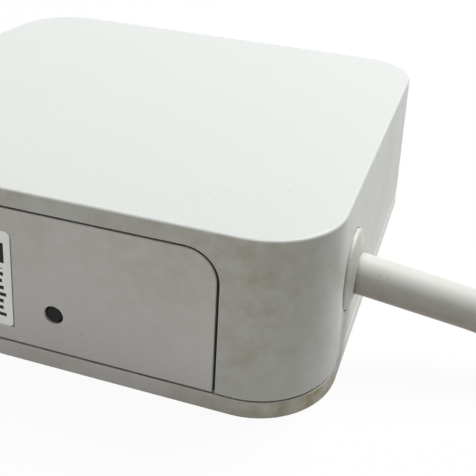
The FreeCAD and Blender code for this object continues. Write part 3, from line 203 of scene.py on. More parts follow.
# %% Sheath, cores and aerial inside
AERIAL_DIAMETER = 0.001
INNER_LINES = {
    "cable_entry": (FLEX_DIAMETER, [
        (0.0331, -0.0271, 0.01835), (0.0430, -0.0271, 0.01835), (0.0493, -0.0271, 0.01835), FLEX_EXIT]),
    "core_brown": (CORE_DIAMETER, [
        (0.0331, -0.0271, 0.01985), (0.0291, -0.0271, 0.01985), (0.0190, -0.0274, 0.0202),
        (0.0120, -0.0245, 0.0130), (0.0120, -0.0123, 0.0130)]),
    "core_blue": (CORE_DIAMETER, [
        (0.0331, -0.0284, 0.0176), (0.0291, -0.0284, 0.0176), (0.0258, -0.0276, 0.01634),
        (0.01708, -0.0255, 0.0130), (0.01708, -0.0123, 0.0130)]),
    "core_earth": (CORE_DIAMETER, [
        (0.0331, -0.0258, 0.0176), (0.0291, -0.0258, 0.0176), (0.02216, -0.0225, 0.0130),
        (0.02216, -0.0123, 0.0130)]),
    "antenna": (AERIAL_DIAMETER, [
        (-0.03565, 0.0005, 0.0096), (-0.03565, 0.0005, 0.0206), (-0.03565, 0.0005, 0.0266),
        (-0.03565, 0.0065, 0.0266), (-0.03565, 0.0405, 0.0266)]),
}
inner = {}
for name, (diameter, points) in INNER_LINES.items():
    inner[name] = smooth_line(f"{name}_line", points, diameter)
    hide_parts(name)
    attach(inner[name], "main_unit")
print("inner cords:", len(inner))

# %% [markdown]
# ## Making a finish
#
# Each finish is a tree of nodes. A few helpers keep the trees short. One turns a colour as a maker would
# write it, in sRGB hex, into the linear values that Blender works in. One adds a node with its settings and
# its inputs, and two make what most trees begin and end with. A pattern is sized in real millimetres:
# Object coordinates are in metres, so a pattern with features of a given size has a scale of one over that
# size.


# %% Colour and node helpers
def colour_of(text):
    """A linear colour from sRGB hex text."""
    parts = [int(text[at:at + 2], 16) / 255 for at in (0, 2, 4)]
    linear = [c / 12.92 if c <= 0.04045 else ((c + 0.055) / 1.055) ** 2.4 for c in parts]
    return (*linear, 1.0)


def add(tree, kind, feeds=None, **settings):
    """Add a node. Each feed is an input's name or number and a value or an output to link."""
    made = tree.nodes.new(kind)
    for name, value in settings.items():
        setattr(made, name, value)
    for name, value in (feeds or {}).items():
        if isinstance(value, bpy.types.NodeSocket):
            tree.links.new(value, made.inputs[name])
        else:
            made.inputs[name].default_value = value
    return made


def per_mm(size):
    """The scale of a pattern whose features are that many millimetres across."""
    return 1000 / size


def new_finish(name):
    """A new material, its tree and the Object coordinates in it."""
    finish = bpy.data.materials.new(name)
    finish.use_nodes = True
    finish.node_tree.nodes.clear()
    return finish, finish.node_tree, add(finish.node_tree, "ShaderNodeTexCoord").outputs["Object"]


def shine(tree, **inputs):
    """The surface shader, with its inputs by name, linked to the output."""
    surface = add(tree, "ShaderNodeBsdfPrincipled", {k.replace("_", " "): v for k, v in inputs.items()})
    add(tree, "ShaderNodeOutputMaterial", {"Surface": surface.outputs["BSDF"]})


# %% [markdown]
# ## Shell: white ABS, moulded in a fine-etched tool
#
# ABS is satin: its gloss is soft and wide. A warm film lies on the sides and along the front, and the top
# stays clean and cool: handling grime together with painted shade, which makes the sides and the front
# darker and warmer than the top. A wide soft noise and a finer one break the film up, as handling does. An
# occlusion node finds the gaps, the seam and the foot of the bush and darkens them brown: painted shade in
# the crevices, with some dust. Its reach is in metres, like the gaps. A lighter line along the edges is a
# painted highlight: there the bevelled normal leaves the true one, and that makes the mask. The few real
# marks are put where they were seen.

# %% ABS
ABS_IOR = 1.5
# The brown below colours real dust and specks, and also painted shade in crevices and beside the label.
GRIME_AND_SHADE = colour_of("5a4f42")
# The warm film colour below is handling grime, and also painted shade that darkens the sides and the front.
FILM_AND_SHADE = colour_of("a49667")
# The near-white below is a painted highlight along the edges.
EDGE_HIGHLIGHT = colour_of("fbfbf7")
GAP_REACH = 0.0012
EDGE_RADIUS = 0.0003
SPECK_STEP = 0.09


def moulded(name, clean, film_and_shade_share, roughness, shade_patches, marks):
    """A moulded plastic.

    Its film is handling grime and painted shade together. Each patch of painted shade is its place, its
    radius in millimetres and its share of film. Each mark is its place, its radius, the least noise that
    makes a speck, and how dark its specks are.
    """
    finish, tree, place = new_finish(name)
    true_way = add(tree, "ShaderNodeNewGeometry")
    level = add(tree, "ShaderNodeSeparateXYZ", {"Vector": true_way.outputs["Normal"]})
    # Painted shade: faces that turn away from the sky get more film, so the sides come out darker than the
    # top.
    side = add(tree, "ShaderNodeMapRange", {"Value": level.outputs["Z"], "From Min": 0.95, "From Max": 0.3,
                                            "To Min": 0.1, "To Max": 1.0})
    cloud = add(tree, "ShaderNodeTexNoise", {"Vector": place, "Scale": per_mm(24), "Detail": 4.0,
                                             "Roughness": 0.6})
    wide = add(tree, "ShaderNodeMapRange", {"Value": cloud.outputs["Fac"], "From Min": 0.35,
                                            "From Max": 0.68, "To Min": film_and_shade_share * 0.5,
                                            "To Max": film_and_shade_share * 1.3})
    # Each patch adds film where shade falls: painted shade.
    for at, reach, share in shade_patches:
        away = add(tree, "ShaderNodeVectorMath", {0: place, 1: at}, operation="DISTANCE")
        near = add(tree, "ShaderNodeMapRange", {"Value": away.outputs["Value"], "From Min": reach / 1000,
                                                "From Max": 0.0, "To Max": share},
                   interpolation_type="SMOOTHSTEP")
        wide = add(tree, "ShaderNodeMath", {0: wide.outputs[0], 1: near.outputs["Result"]}, operation="ADD")
    mottle = add(tree, "ShaderNodeTexNoise", {"Vector": place, "Scale": per_mm(3.2), "Detail": 4.0,
                                              "Roughness": 0.6})
    fine = add(tree, "ShaderNodeMapRange", {"Value": mottle.outputs["Fac"], "From Min": 0.3,
                                            "From Max": 0.7, "To Min": 0.5, "To Max": 1.5})
    film_and_shade = add(tree, "ShaderNodeMath", {0: wide.outputs[0], 1: fine.outputs["Result"]},
               operation="MULTIPLY")
    film_and_shade = add(tree, "ShaderNodeMath", {0: film_and_shade.outputs["Value"], 1: side.outputs["Result"]},
               operation="MULTIPLY")
    colour = add(tree, "ShaderNodeMix", {"Factor": film_and_shade.outputs["Value"], 6: clean, 7: FILM_AND_SHADE},
                 data_type="RGBA")
    dust = add(tree, "ShaderNodeTexNoise", {"Vector": place, "Scale": per_mm(0.9), "Detail": 3.0})
    for at, reach, least, depth in marks:
        away = add(tree, "ShaderNodeVectorMath", {0: place, 1: at}, operation="DISTANCE")
        near = add(tree, "ShaderNodeMapRange", {"Value": away.outputs["Value"], "From Min": reach / 1000,
                                                "From Max": 0.0})
        speck = add(tree, "ShaderNodeMapRange", {"Value": dust.outputs["Fac"], "From Min": least,
                                                 "From Max": least + SPECK_STEP, "To Max": depth})
        both = add(tree, "ShaderNodeMath", {0: speck.outputs["Result"], 1: near.outputs["Result"]},
                   operation="MULTIPLY")
        colour = add(tree, "ShaderNodeMix", {"Factor": both.outputs["Value"], 6: colour.outputs[2],
                                             7: GRIME_AND_SHADE}, data_type="RGBA")
    # Painted shade: the occlusion darkens the gaps, the seam, the hole's wall and the foot of the bush in a
    # dusty brown.
    gap = add(tree, "ShaderNodeAmbientOcclusion", {"Distance": GAP_REACH}, samples=8)
    ragged = add(tree, "ShaderNodeMath", {0: mottle.outputs["Fac"], 1: 0.45, 2: gap.outputs["AO"]},
                 operation="MULTIPLY_ADD")
    crevice_dirt_and_shade = add(tree, "ShaderNodeMapRange", {"Value": ragged.outputs["Value"], "From Min": 0.86,
                                            "From Max": 0.45, "To Max": 0.75})
    colour = add(tree, "ShaderNodeMix", {"Factor": crevice_dirt_and_shade.outputs["Result"], 6: colour.outputs[2], 7: GRIME_AND_SHADE},
                 data_type="RGBA")
    # Painted highlight: a lighter line along every edge, where the bevelled normal leaves the true one.
    edges = add(tree, "ShaderNodeBevel", {"Radius": EDGE_RADIUS}, samples=6)
    facing = add(tree, "ShaderNodeVectorMath", {0: edges.outputs["Normal"], 1: true_way.outputs["Normal"]},
                 operation="DOT_PRODUCT")
    edge_highlight = add(tree, "ShaderNodeMapRange", {"Value": facing.outputs["Value"], "From Min": 0.99,
                                              "From Max": 0.9, "To Max": 0.9})
    colour = add(tree, "ShaderNodeMix", {"Factor": edge_highlight.outputs["Result"], 6: colour.outputs[2],
                                         7: EDGE_HIGHLIGHT}, data_type="RGBA")
    gloss = add(tree, "ShaderNodeMapRange", {"Value": cloud.outputs["Fac"], "To Min": roughness - 0.05,
                                             "To Max": roughness + 0.07})
    etch = add(tree, "ShaderNodeTexNoise", {"Vector": place, "Scale": per_mm(0.45), "Detail": 2.0})
    bump = add(tree, "ShaderNodeBump", {"Height": etch.outputs["Fac"], "Strength": 0.22, "Distance": 0.0002,
                                        "Normal": edges.outputs["Normal"]})
    shine(tree, Base_Color=colour.outputs[2], Roughness=gloss.outputs["Result"], IOR=ABS_IOR,
          Normal=bump.outputs["Normal"])
    return finish


# Painted shade: these patches darken the front-right corner and the upper strip of the front wall.
shell_shade_patches = [
    ((0.0395, -0.0450, 0.0280), 18.0, 0.28),
    ((0.0400, -0.0470, 0.0120), 16.0, 0.20),
    ((0.0200, -0.0480, 0.0320), 18.0, 0.24),
    ((-0.0050, -0.0480, 0.0320), 18.0, 0.24),
    ((-0.0300, -0.0480, 0.0320), 18.0, 0.24),
]
shell_marks = [
    ((0.0517, -0.0385, 0.0110), 7.0, 0.66, 0.7),
    ((0.0300, -0.0375, 0.0330), 6.0, 0.56, 0.10),
    ((0.0400, -0.0315, 0.0330), 7.0, 0.56, 0.10),
    ((0.0408, -0.0030, 0.0330), 6.0, 0.60, 0.14),
    ((0.0390, -0.0480, 0.0045), 8.0, 0.66, 0.6),
]
# Painted shade along the top of the panel.
cover_shade_patches = [
    ((-0.0250, -0.0490, 0.0310), 22.0, 0.14),
    ((0.0000, -0.0490, 0.0310), 22.0, 0.14),
    ((0.0280, -0.0490, 0.0300), 22.0, 0.22),
]
cover_marks = [((0.0111, -0.0493, 0.0086), 3.0, 0.64, 0.4)]
# Painted shade on the right front of the base, near the floor, together with grime.
base_shade_patches = [((0.0455, -0.0470, 0.0030), 24.0, 0.36), ((0.0515, -0.0405, 0.0030), 13.0, 0.34)]
base_marks = [((0.0262, -0.0496, 0.0020), 6.0, 0.62, 0.7)]
shell_abs = moulded("abs_shell", colour_of("eceeec"), 0.11, 0.42, shell_shade_patches, shell_marks)
base_abs = moulded("abs_base", colour_of("faf9f7"), 0.16, 0.46, base_shade_patches, base_marks)
cover_abs = moulded("abs_cover", colour_of("f8f6f4"), 0.05, 0.40, cover_shade_patches, cover_marks)

# %% [markdown]
# ## Label: a satin polyester film
#
# The film has a thin metallised layer under its white face, so it picks up the bright room and stands out
# from the plastic in the shade. The label is bare of words. A plain block and a few plain bars stand where
# a label is usually printed. They are worked out on the label's own axes, in millimetres from its lower
# right corner, which a Mapping node turns with the label. Each bar ends at a place of its own, from a
# random number per row.

# %% Label film
LABEL_CORNER = (-0.0016, 0.0, 0.0070)
LABEL_TURN = math.radians(3.6)
BAR_PITCH = 1.35


def label_axes(tree, place):
    """The place on the label's own axes, in metres: X is 0 at its right edge and Z at its lower edge."""
    flat = add(tree, "ShaderNodeVectorMath", {0: place, 1: (1, 0, 1)}, operation="MULTIPLY")
    local = add(tree, "ShaderNodeMapping", {"Vector": flat.outputs["Vector"], "Location": LABEL_CORNER,
                                            "Rotation": (0, LABEL_TURN, 0)}, vector_type="TEXTURE")
    return add(tree, "ShaderNodeSeparateXYZ", {"Vector": local.outputs["Vector"]})


finish, tree, place = new_finish("polyester_label")
axis = label_axes(tree, place)
across = add(tree, "ShaderNodeMath", {0: axis.outputs["X"], 1: -1000.0}, operation="MULTIPLY")
upward = add(tree, "ShaderNodeMath", {0: axis.outputs["Z"], 1: 1000.0}, operation="MULTIPLY")
row = add(tree, "ShaderNodeMath", {0: upward.outputs["Value"], 1: BAR_PITCH}, operation="DIVIDE")
number = add(tree, "ShaderNodeMath", {0: row.outputs["Value"]}, operation="FLOOR")
within = add(tree, "ShaderNodeMath", {0: row.outputs["Value"]}, operation="FRACT")
chance = add(tree, "ShaderNodeTexWhiteNoise", {"W": number.outputs["Value"]}, noise_dimensions="1D")
start = add(tree, "ShaderNodeMapRange", {"Value": chance.outputs["Value"], "To Min": 1.1, "To Max": 1.8})
end = add(tree, "ShaderNodeMapRange", {"Value": chance.outputs["Value"], "To Min": 20.0, "To Max": 11.0})
RULES = [(within, "GREATER_THAN", 0.32), (within, "LESS_THAN", 0.84), (upward, "LESS_THAN", 11.4),
         (upward, "GREATER_THAN", 1.2), (across, "GREATER_THAN", start), (across, "LESS_THAN", end)]
BLOCK = [(across, "GREATER_THAN", 1.25), (across, "LESS_THAN", 9.0), (upward, "GREATER_THAN", 12.4),
         (upward, "LESS_THAN", 16.2)]
prints = []
for rules in (RULES, BLOCK):
    ink = None
    for value, test, limit in rules:
        edge = limit if isinstance(limit, float) else limit.outputs["Result"]
        passed = add(tree, "ShaderNodeMath", {0: value.outputs["Value"], 1: edge}, operation=test)
        if ink is not None:
            passed = add(tree, "ShaderNodeMath", {0: ink.outputs["Value"], 1: passed.outputs["Value"]},
                         operation="MULTIPLY")
        ink = passed
    prints.append(ink)
ink = add(tree, "ShaderNodeMath", {0: prints[0].outputs["Value"], 1: prints[1].outputs["Value"]},
          operation="MAXIMUM")
fade = add(tree, "ShaderNodeTexNoise", {"Vector": place, "Scale": per_mm(0.5), "Detail": 2.0})
worn = add(tree, "ShaderNodeMapRange", {"Value": fade.outputs["Fac"], "From Min": 0.2, "From Max": 0.5,
                                        "To Min": 0.95, "To Max": 1.0})
ink = add(tree, "ShaderNodeMath", {0: ink.outputs["Value"], 1: worn.outputs["Result"]},
          operation="MULTIPLY")
soil = add(tree, "ShaderNodeTexNoise", {"Vector": place, "Scale": per_mm(6), "Detail": 4.0})
paper = add(tree, "ShaderNodeMix", {"Factor": soil.outputs["Fac"], 6: colour_of("f2f4f2"),
                                    7: colour_of("e9e9e5")}, data_type="RGBA")
printed = add(tree, "ShaderNodeMix", {"Factor": ink.outputs["Value"], 6: paper.outputs[2],
                                      7: colour_of("070707")}, data_type="RGBA")
silver = add(tree, "ShaderNodeMapRange", {"Value": ink.outputs["Value"], "To Min": 0.42, "To Max": 0.0})
grain = add(tree, "ShaderNodeBump", {"Height": soil.outputs["Fac"], "Strength": 0.05, "Distance": 0.0002})
shine(tree, Base_Color=printed.outputs[2], Roughness=0.38, IOR=1.3, Metallic=silver.outputs["Result"],
      Normal=grain.outputs["Normal"])
label_film = finish

# %% [markdown]
# A thin painted shadow lies along the label's right edge. The panel's finish gets that line, on the same
# axes as the label. It ends under the label, so the rest of the panel stays clean.

# %% Painted shadow beside the label
LABEL_LINE = 0.00028
LABEL_TOP = 0.0172
HIDDEN_FROM = -0.001
FADE = 0.001
tree = cover_abs.node_tree
surface = next(node for node in tree.nodes if node.type == "BSDF_PRINCIPLED")
clean = surface.inputs["Base Color"].links[0].from_socket
place = add(tree, "ShaderNodeTexCoord").outputs["Object"]
axis = label_axes(tree, place)
beside = add(tree, "ShaderNodeMapRange", {"Value": axis.outputs["X"], "From Min": LABEL_LINE,
                                          "From Max": 0.0, "To Max": 0.75})
under = add(tree, "ShaderNodeMapRange", {"Value": axis.outputs["X"], "From Min": HIDDEN_FROM - FADE,
                                         "From Max": HIDDEN_FROM})
upper = add(tree, "ShaderNodeMapRange", {"Value": axis.outputs["Z"], "From Min": LABEL_TOP + FADE,
                                         "From Max": LABEL_TOP})
lower = add(tree, "ShaderNodeMapRange", {"Value": axis.outputs["Z"], "From Min": -LABEL_LINE,
                                         "From Max": 0.0})
line = beside
for limit in (upper, lower, under):
    line = add(tree, "ShaderNodeMath", {0: line.outputs[0], 1: limit.outputs["Result"]},
               operation="MULTIPLY")
# Painted shadow: a thin dark line along the label's right edge.
label_shadow = add(tree, "ShaderNodeMix", {"Factor": line.outputs[0], 6: clean, 7: GRIME_AND_SHADE}, data_type="RGBA")
tree.links.new(label_shadow.outputs[2], surface.inputs["Base Color"])
print("label:", len(label_film.node_tree.nodes), "nodes, panel:", len(tree.nodes))

# %% [markdown]
# ## Flex: soft PVC
#
# White PVC is glossier than the box and yellows a little. Where the surface looks down, its colour goes
# grey-brown: painted shade on the underside, with some dust. An occlusion node darkens it where it meets
# the bush, which is painted shade too. A faint ripple in the bump is left by the extruder, and a few brown
# specks stick to it near the bush.

# %% PVC
SPECKS_AT = (0.0565, -0.0285, 0.0150)
CREVICE_SHADE_REACH = 0.0022
finish, tree, place = new_finish("pvc_sheath")
way = add(tree, "ShaderNodeNewGeometry")
axis = add(tree, "ShaderNodeSeparateXYZ", {"Vector": way.outputs["Normal"]})
cloud = add(tree, "ShaderNodeTexNoise", {"Vector": place, "Scale": per_mm(9), "Detail": 4.0,
                                         "Roughness": 0.6})
uneven = add(tree, "ShaderNodeMath", {0: cloud.outputs["Fac"], 1: axis.outputs["Z"]},
             operation="SUBTRACT")
# Painted shade: where the surface looks down, the colour goes grey-brown, with some dust in it.
under = add(tree, "ShaderNodeMapRange", {"Value": uneven.outputs["Value"], "From Min": 0.0, "From Max": 1.0,
                                         "To Max": 0.7})
colour = add(tree, "ShaderNodeMix", {"Factor": under.outputs["Result"], 6: colour_of("e6e6e1"),
                                     7: colour_of("a39484")}, data_type="RGBA")
dust = add(tree, "ShaderNodeTexNoise", {"Vector": place, "Scale": per_mm(0.9), "Detail": 2.0})
speck = add(tree, "ShaderNodeMapRange", {"Value": dust.outputs["Fac"], "From Min": 0.66, "From Max": 0.76,
                                         "To Max": 0.45})
away = add(tree, "ShaderNodeVectorMath", {0: place, 1: SPECKS_AT}, operation="DISTANCE")
near = add(tree, "ShaderNodeMapRange", {"Value": away.outputs["Value"], "From Min": 0.012,
                                        "From Max": 0.002})
both = add(tree, "ShaderNodeMath", {0: speck.outputs["Result"], 1: near.outputs["Result"]},
           operation="MULTIPLY")
colour = add(tree, "ShaderNodeMix", {"Factor": both.outputs["Value"], 6: colour.outputs[2], 7: GRIME_AND_SHADE},
             data_type="RGBA")
# Painted shade: the occlusion darkens the flex where it meets the bush.
gap = add(tree, "ShaderNodeAmbientOcclusion", {"Distance": CREVICE_SHADE_REACH}, samples=8)
crevice_dirt_and_shade = add(tree, "ShaderNodeMapRange", {"Value": gap.outputs["AO"], "From Min": 0.8, "From Max": 0.35,
                                        "To Max": 0.85})
colour = add(tree, "ShaderNodeMix", {"Factor": crevice_dirt_and_shade.outputs["Result"], 6: colour.outputs[2], 7: GRIME_AND_SHADE},
             data_type="RGBA")
haze = add(tree, "ShaderNodeMapRange", {"Value": cloud.outputs["Fac"], "To Min": 0.46, "To Max": 0.62})
ripple = add(tree, "ShaderNodeTexNoise", {"Vector": place, "Scale": per_mm(1.6), "Detail": 2.0})
bump = add(tree, "ShaderNodeBump", {"Height": ripple.outputs["Fac"], "Strength": 0.05, "Distance": 0.0003})
shine(tree, Base_Color=colour.outputs[2], Roughness=haze.outputs["Result"], IOR=1.45,
      Subsurface_Weight=0.08, Subsurface_Radius=(0.8, 0.75, 0.65), Subsurface_Scale=0.001,
      Normal=bump.outputs["Normal"])
pvc_sheath = finish

# %% [markdown]
# ## Other plastics
#
# The bush, the locknut, the clamp, the tie, the relays and the terminal block are moulded too, so the same
# maker serves with other colours. Black parts differ: their gloss carries the look, and dust shows on them.

# %% Other moulded plastics
# Real dirt specks, and also painted shade on the lower near side of the bush.
bush_specks_and_shade = [((0.0522, -0.0330, 0.0140), 7.0, 0.62, 0.6)]
nylon_white = moulded("polyamide_white", colour_of("e2e2dd"), 0.24, 0.42, [], bush_specks_and_shade)
nylon_natural = moulded("polyamide_natural", colour_of("dcd9cc"), 0.10, 0.40, [], [])
green_polyamide = moulded("polyamide_green", colour_of("3f9a5c"), 0.05, 0.38, [], [])
blue_case = moulded("pbt_blue", colour_of("2f62a3"), 0.04, 0.30, [], [])
yellow_case = moulded("pbt_yellow", colour_of("e0b53a"), 0.05, 0.34, [], [])
blue_lacquer = moulded("epoxy_blue", colour_of("2d68b8"), 0.04, 0.18, [], [])
grey_case = moulded("pbt_grey", colour_of("55565a"), 0.06, 0.42, [], [])


def dark_compound(name, clean, label_shadow, roughness, index):
    """A black or dark rubber or compound: pale dust in its pores, and a gloss that comes and goes."""
    finish, tree, place = new_finish(name)
    cloud = add(tree, "ShaderNodeTexNoise", {"Vector": place, "Scale": per_mm(2.2), "Detail": 5.0,
                                             "Roughness": 0.65})
    dust = add(tree, "ShaderNodeMapRange", {"Value": cloud.outputs["Fac"], "From Min": 0.45,
                                            "From Max": 0.8, "To Max": 0.5})
    colour = add(tree, "ShaderNodeMix", {"Factor": dust.outputs["Result"], 6: clean, 7: label_shadow},
                 data_type="RGBA")
    gloss = add(tree, "ShaderNodeMapRange", {"Value": cloud.outputs["Fac"], "To Min": roughness - 0.08,
                                             "To Max": roughness + 0.14})
    edges = add(tree, "ShaderNodeBevel", {"Radius": 0.0002}, samples=6)
    pores = add(tree, "ShaderNodeTexNoise", {"Vector": place, "Scale": per_mm(0.35), "Detail": 2.0})
    bump = add(tree, "ShaderNodeBump", {"Height": pores.outputs["Fac"], "Strength": 0.12,
                                        "Distance": 0.0001, "Normal": edges.outputs["Normal"]})
    shine(tree, Base_Color=colour.outputs[2], Roughness=gloss.outputs["Result"], IOR=index,
          Normal=bump.outputs["Normal"])
    return finish


black_rubber = dark_compound("rubber_black", colour_of("0b0b0a"), colour_of("1b1918"), 0.36, 1.25)
black_epoxy = dark_compound("epoxy_black", colour_of("1c1c1e"), colour_of("3a3936"), 0.48, 1.5)
brown_pvc = dark_compound("pvc_brown", colour_of("5e3a24"), colour_of("70503a"), 0.36, 1.5)
blue_pvc = dark_compound("pvc_blue", colour_of("2a5aa6"), colour_of("4a74b4"), 0.36, 1.5)

# %% [markdown]
# ## Earth core: green and yellow PVC
#
# Its two colours run along the core in a slow twist. Bands across a slanted axis give that on each side
# that is seen, a little over a diameter wide.

# %% Green and yellow PVC
finish, tree, place = new_finish("pvc_green_yellow")
slant = add(tree, "ShaderNodeVectorMath", {0: place, 1: (0.35, 0.25, 1.0)}, operation="DOT_PRODUCT")
turns = add(tree, "ShaderNodeMath", {0: slant.outputs["Value"], 1: per_mm(2.6)}, operation="MULTIPLY")
cycle = add(tree, "ShaderNodeMath", {0: turns.outputs["Value"]}, operation="FRACT")
edge = add(tree, "ShaderNodeMapRange", {"Value": cycle.outputs["Value"], "From Min": 0.34,
                                        "From Max": 0.38})
dust = add(tree, "ShaderNodeTexNoise", {"Vector": place, "Scale": per_mm(1.8), "Detail": 3.0})
colour = add(tree, "ShaderNodeMix", {"Factor": edge.outputs["Result"], 6: colour_of("e2cf35"),
                                     7: colour_of("3d8a3c")}, data_type="RGBA")
gloss = add(tree, "ShaderNodeMapRange", {"Value": dust.outputs["Fac"], "To Min": 0.28, "To Max": 0.46})
bump = add(tree, "ShaderNodeBump", {"Height": dust.outputs["Fac"], "Strength": 0.06, "Distance": 0.0002})
shine(tree, Base_Color=colour.outputs[2], Roughness=gloss.outputs["Result"], IOR=1.54,
      Normal=bump.outputs["Normal"])
green_yellow_pvc = finish

# %% [markdown]
# ## Metals
#
# Screws are zinc plated, clamps are brass and the shield is tinned. A metal's colour is its reflection, so
# what tells them apart is tint, how rough they are and how that roughness is laid: small clouds of tarnish
# and fine scratches that run one way, stretched noise.


# %% Metals
def plated_metal(name, bright, dull, roughness, scratch):
    """A metal with a bright and a dull tint. Its scratches run along the axis with the least scale."""
    finish, tree, place = new_finish(name)
    tarnish = add(tree, "ShaderNodeTexNoise", {"Vector": place, "Scale": per_mm(2.5), "Detail": 4.0})
    share = add(tree, "ShaderNodeMapRange", {"Value": tarnish.outputs["Fac"], "From Min": 0.4,
                                             "From Max": 0.75})
    colour = add(tree, "ShaderNodeMix", {"Factor": share.outputs["Result"], 6: bright, 7: dull},
                 data_type="RGBA")
    drawn = add(tree, "ShaderNodeVectorMath", {0: place, 1: scratch}, operation="MULTIPLY")
    lines = add(tree, "ShaderNodeTexNoise", {"Vector": drawn.outputs["Vector"], "Scale": per_mm(0.3),
                                             "Detail": 2.0})
    gloss = add(tree, "ShaderNodeMapRange", {"Value": lines.outputs["Fac"], "To Min": roughness - 0.1,
                                             "To Max": roughness + 0.16})
    edges = add(tree, "ShaderNodeBevel", {"Radius": 0.0001}, samples=6)
    bump = add(tree, "ShaderNodeBump", {"Height": lines.outputs["Fac"], "Strength": 0.08,
                                        "Distance": 0.0001, "Normal": edges.outputs["Normal"]})
    shine(tree, Base_Color=colour.outputs[2], Metallic=1.0, Roughness=gloss.outputs["Result"],
          Normal=bump.outputs["Normal"])
    return finish


zinc = plated_metal("zinc_plated_steel", colour_of("c9cbcc"), colour_of("a9a89c"), 0.32, (1, 1, 0.2))
brass = plated_metal("brass", colour_of("d8b26a"), colour_of("a8823f"), 0.30, (1, 0.2, 1))
tin = plated_metal("tinned_steel", colour_of("cfcfcc"), colour_of("b2b1aa"), 0.30, (0.15, 1, 1))

# %% [markdown]
# ## Circuit board
#
# The laminate is glass cloth in epoxy under a green solder mask. Tracks and copper areas show through the
# mask in a paler green: thin straight lines between long bricks, and cells of about 8 mm. The cut edge has
# no mask and shows the layers of cloth. A wave texture has a cycle of its own, so its scale is corrected
# for that.

# %% Board
WAVE_CYCLE = math.pi / 10
finish, tree, place = new_finish("fr4_laminate")
block = add(tree, "ShaderNodeTexBrick", {"Vector": place, "Scale": per_mm(11), "Mortar Size": 0.02,
                                         "Brick Width": 1.3, "Row Height": 0.33, "Color1": (0, 0, 0, 1),
                                         "Color2": (0.2, 0.2, 0.2, 1), "Mortar": (1, 1, 1, 1)})
net = add(tree, "ShaderNodeTexVoronoi", {"Vector": place, "Scale": per_mm(7.6)}, feature="DISTANCE_TO_EDGE")
pour = add(tree, "ShaderNodeMapRange", {"Value": net.outputs["Distance"], "From Min": 0.05,
                                        "From Max": 0.06, "To Min": 0.0, "To Max": 0.5})
track = add(tree, "ShaderNodeMath", {0: block.outputs["Fac"], 1: pour.outputs["Result"]},
            operation="MAXIMUM")
mask = add(tree, "ShaderNodeMix", {"Factor": track.outputs["Value"], 6: colour_of("14532f"),
                                   7: colour_of("23804a")}, data_type="RGBA")
way = add(tree, "ShaderNodeNewGeometry")
level = add(tree, "ShaderNodeSeparateXYZ", {"Vector": way.outputs["Normal"]})
flat = add(tree, "ShaderNodeMath", {0: level.outputs["Z"]}, operation="ABSOLUTE")
cloth = add(tree, "ShaderNodeTexWave", {"Vector": place, "Scale": per_mm(2.827) * WAVE_CYCLE,
                                        "Distortion": 1.0}, wave_type="BANDS", bands_direction="Z")
raw = add(tree, "ShaderNodeMix", {"Factor": cloth.outputs["Fac"], 6: colour_of("b8b27c"),
                                  7: colour_of("d6d1a4")}, data_type="RGBA")
face = add(tree, "ShaderNodeMapRange", {"Value": flat.outputs["Value"], "From Min": 0.5, "From Max": 0.6})
colour = add(tree, "ShaderNodeMix", {"Factor": face.outputs["Result"], 6: raw.outputs[2],
                                     7: mask.outputs[2]}, data_type="RGBA")
bump = add(tree, "ShaderNodeBump", {"Height": track.outputs["Value"], "Strength": 0.3, "Distance": 0.00004})
shine(tree, Base_Color=colour.outputs[2], Roughness=0.28, IOR=1.5, Normal=bump.outputs["Normal"])
laminate = finish

# %% [markdown]
# ## Parts of two materials
#
# Some CAD pieces are one solid of two materials. The place along the piece tells them apart: the fuse's
# caps are at the two ends of its glass, a capacitor's bare aluminium is its top inside the sleeve's rim,
# and a chip resistor's tinned ends lie beyond a share of each 4 mm step of the row. The status lamp is of
# one material, a pale clear epoxy.

# %% Fuse, capacitors, resistors and lamp
FUSE_MIDDLE = -0.028
BARE_GLASS = 0.005
finish, tree, place = new_finish("glass_fuse")
axis = add(tree, "ShaderNodeSeparateXYZ", {"Vector": place})
middle = add(tree, "ShaderNodeMath", {0: axis.outputs["Y"], 1: FUSE_MIDDLE}, operation="SUBTRACT")
middle = add(tree, "ShaderNodeMath", {0: middle.outputs["Value"]}, operation="ABSOLUTE")
cap = add(tree, "ShaderNodeMath", {0: middle.outputs["Value"], 1: BARE_GLASS},
          operation="GREATER_THAN")
smoke = add(tree, "ShaderNodeTexNoise", {"Vector": place, "Scale": per_mm(3), "Detail": 2.0})
haze = add(tree, "ShaderNodeMapRange", {"Value": smoke.outputs["Fac"], "To Min": 0.02, "To Max": 0.12})
glass = add(tree, "ShaderNodeBsdfPrincipled", {"Base Color": colour_of("eef3f0"),
                                               "Roughness": haze.outputs["Result"],
                                               "Transmission Weight": 0.9, "IOR": 1.47})
nickel = add(tree, "ShaderNodeBsdfPrincipled", {"Base Color": colour_of("d2cfc6"), "Metallic": 1.0,
                                                "Roughness": haze.outputs["Result"]})
both = add(tree, "ShaderNodeMixShader", {0: cap.outputs["Value"], 1: glass.outputs["BSDF"],
                                         2: nickel.outputs["BSDF"]})
add(tree, "ShaderNodeOutputMaterial", {"Surface": both.outputs["Shader"]})
glass_fuse = finish

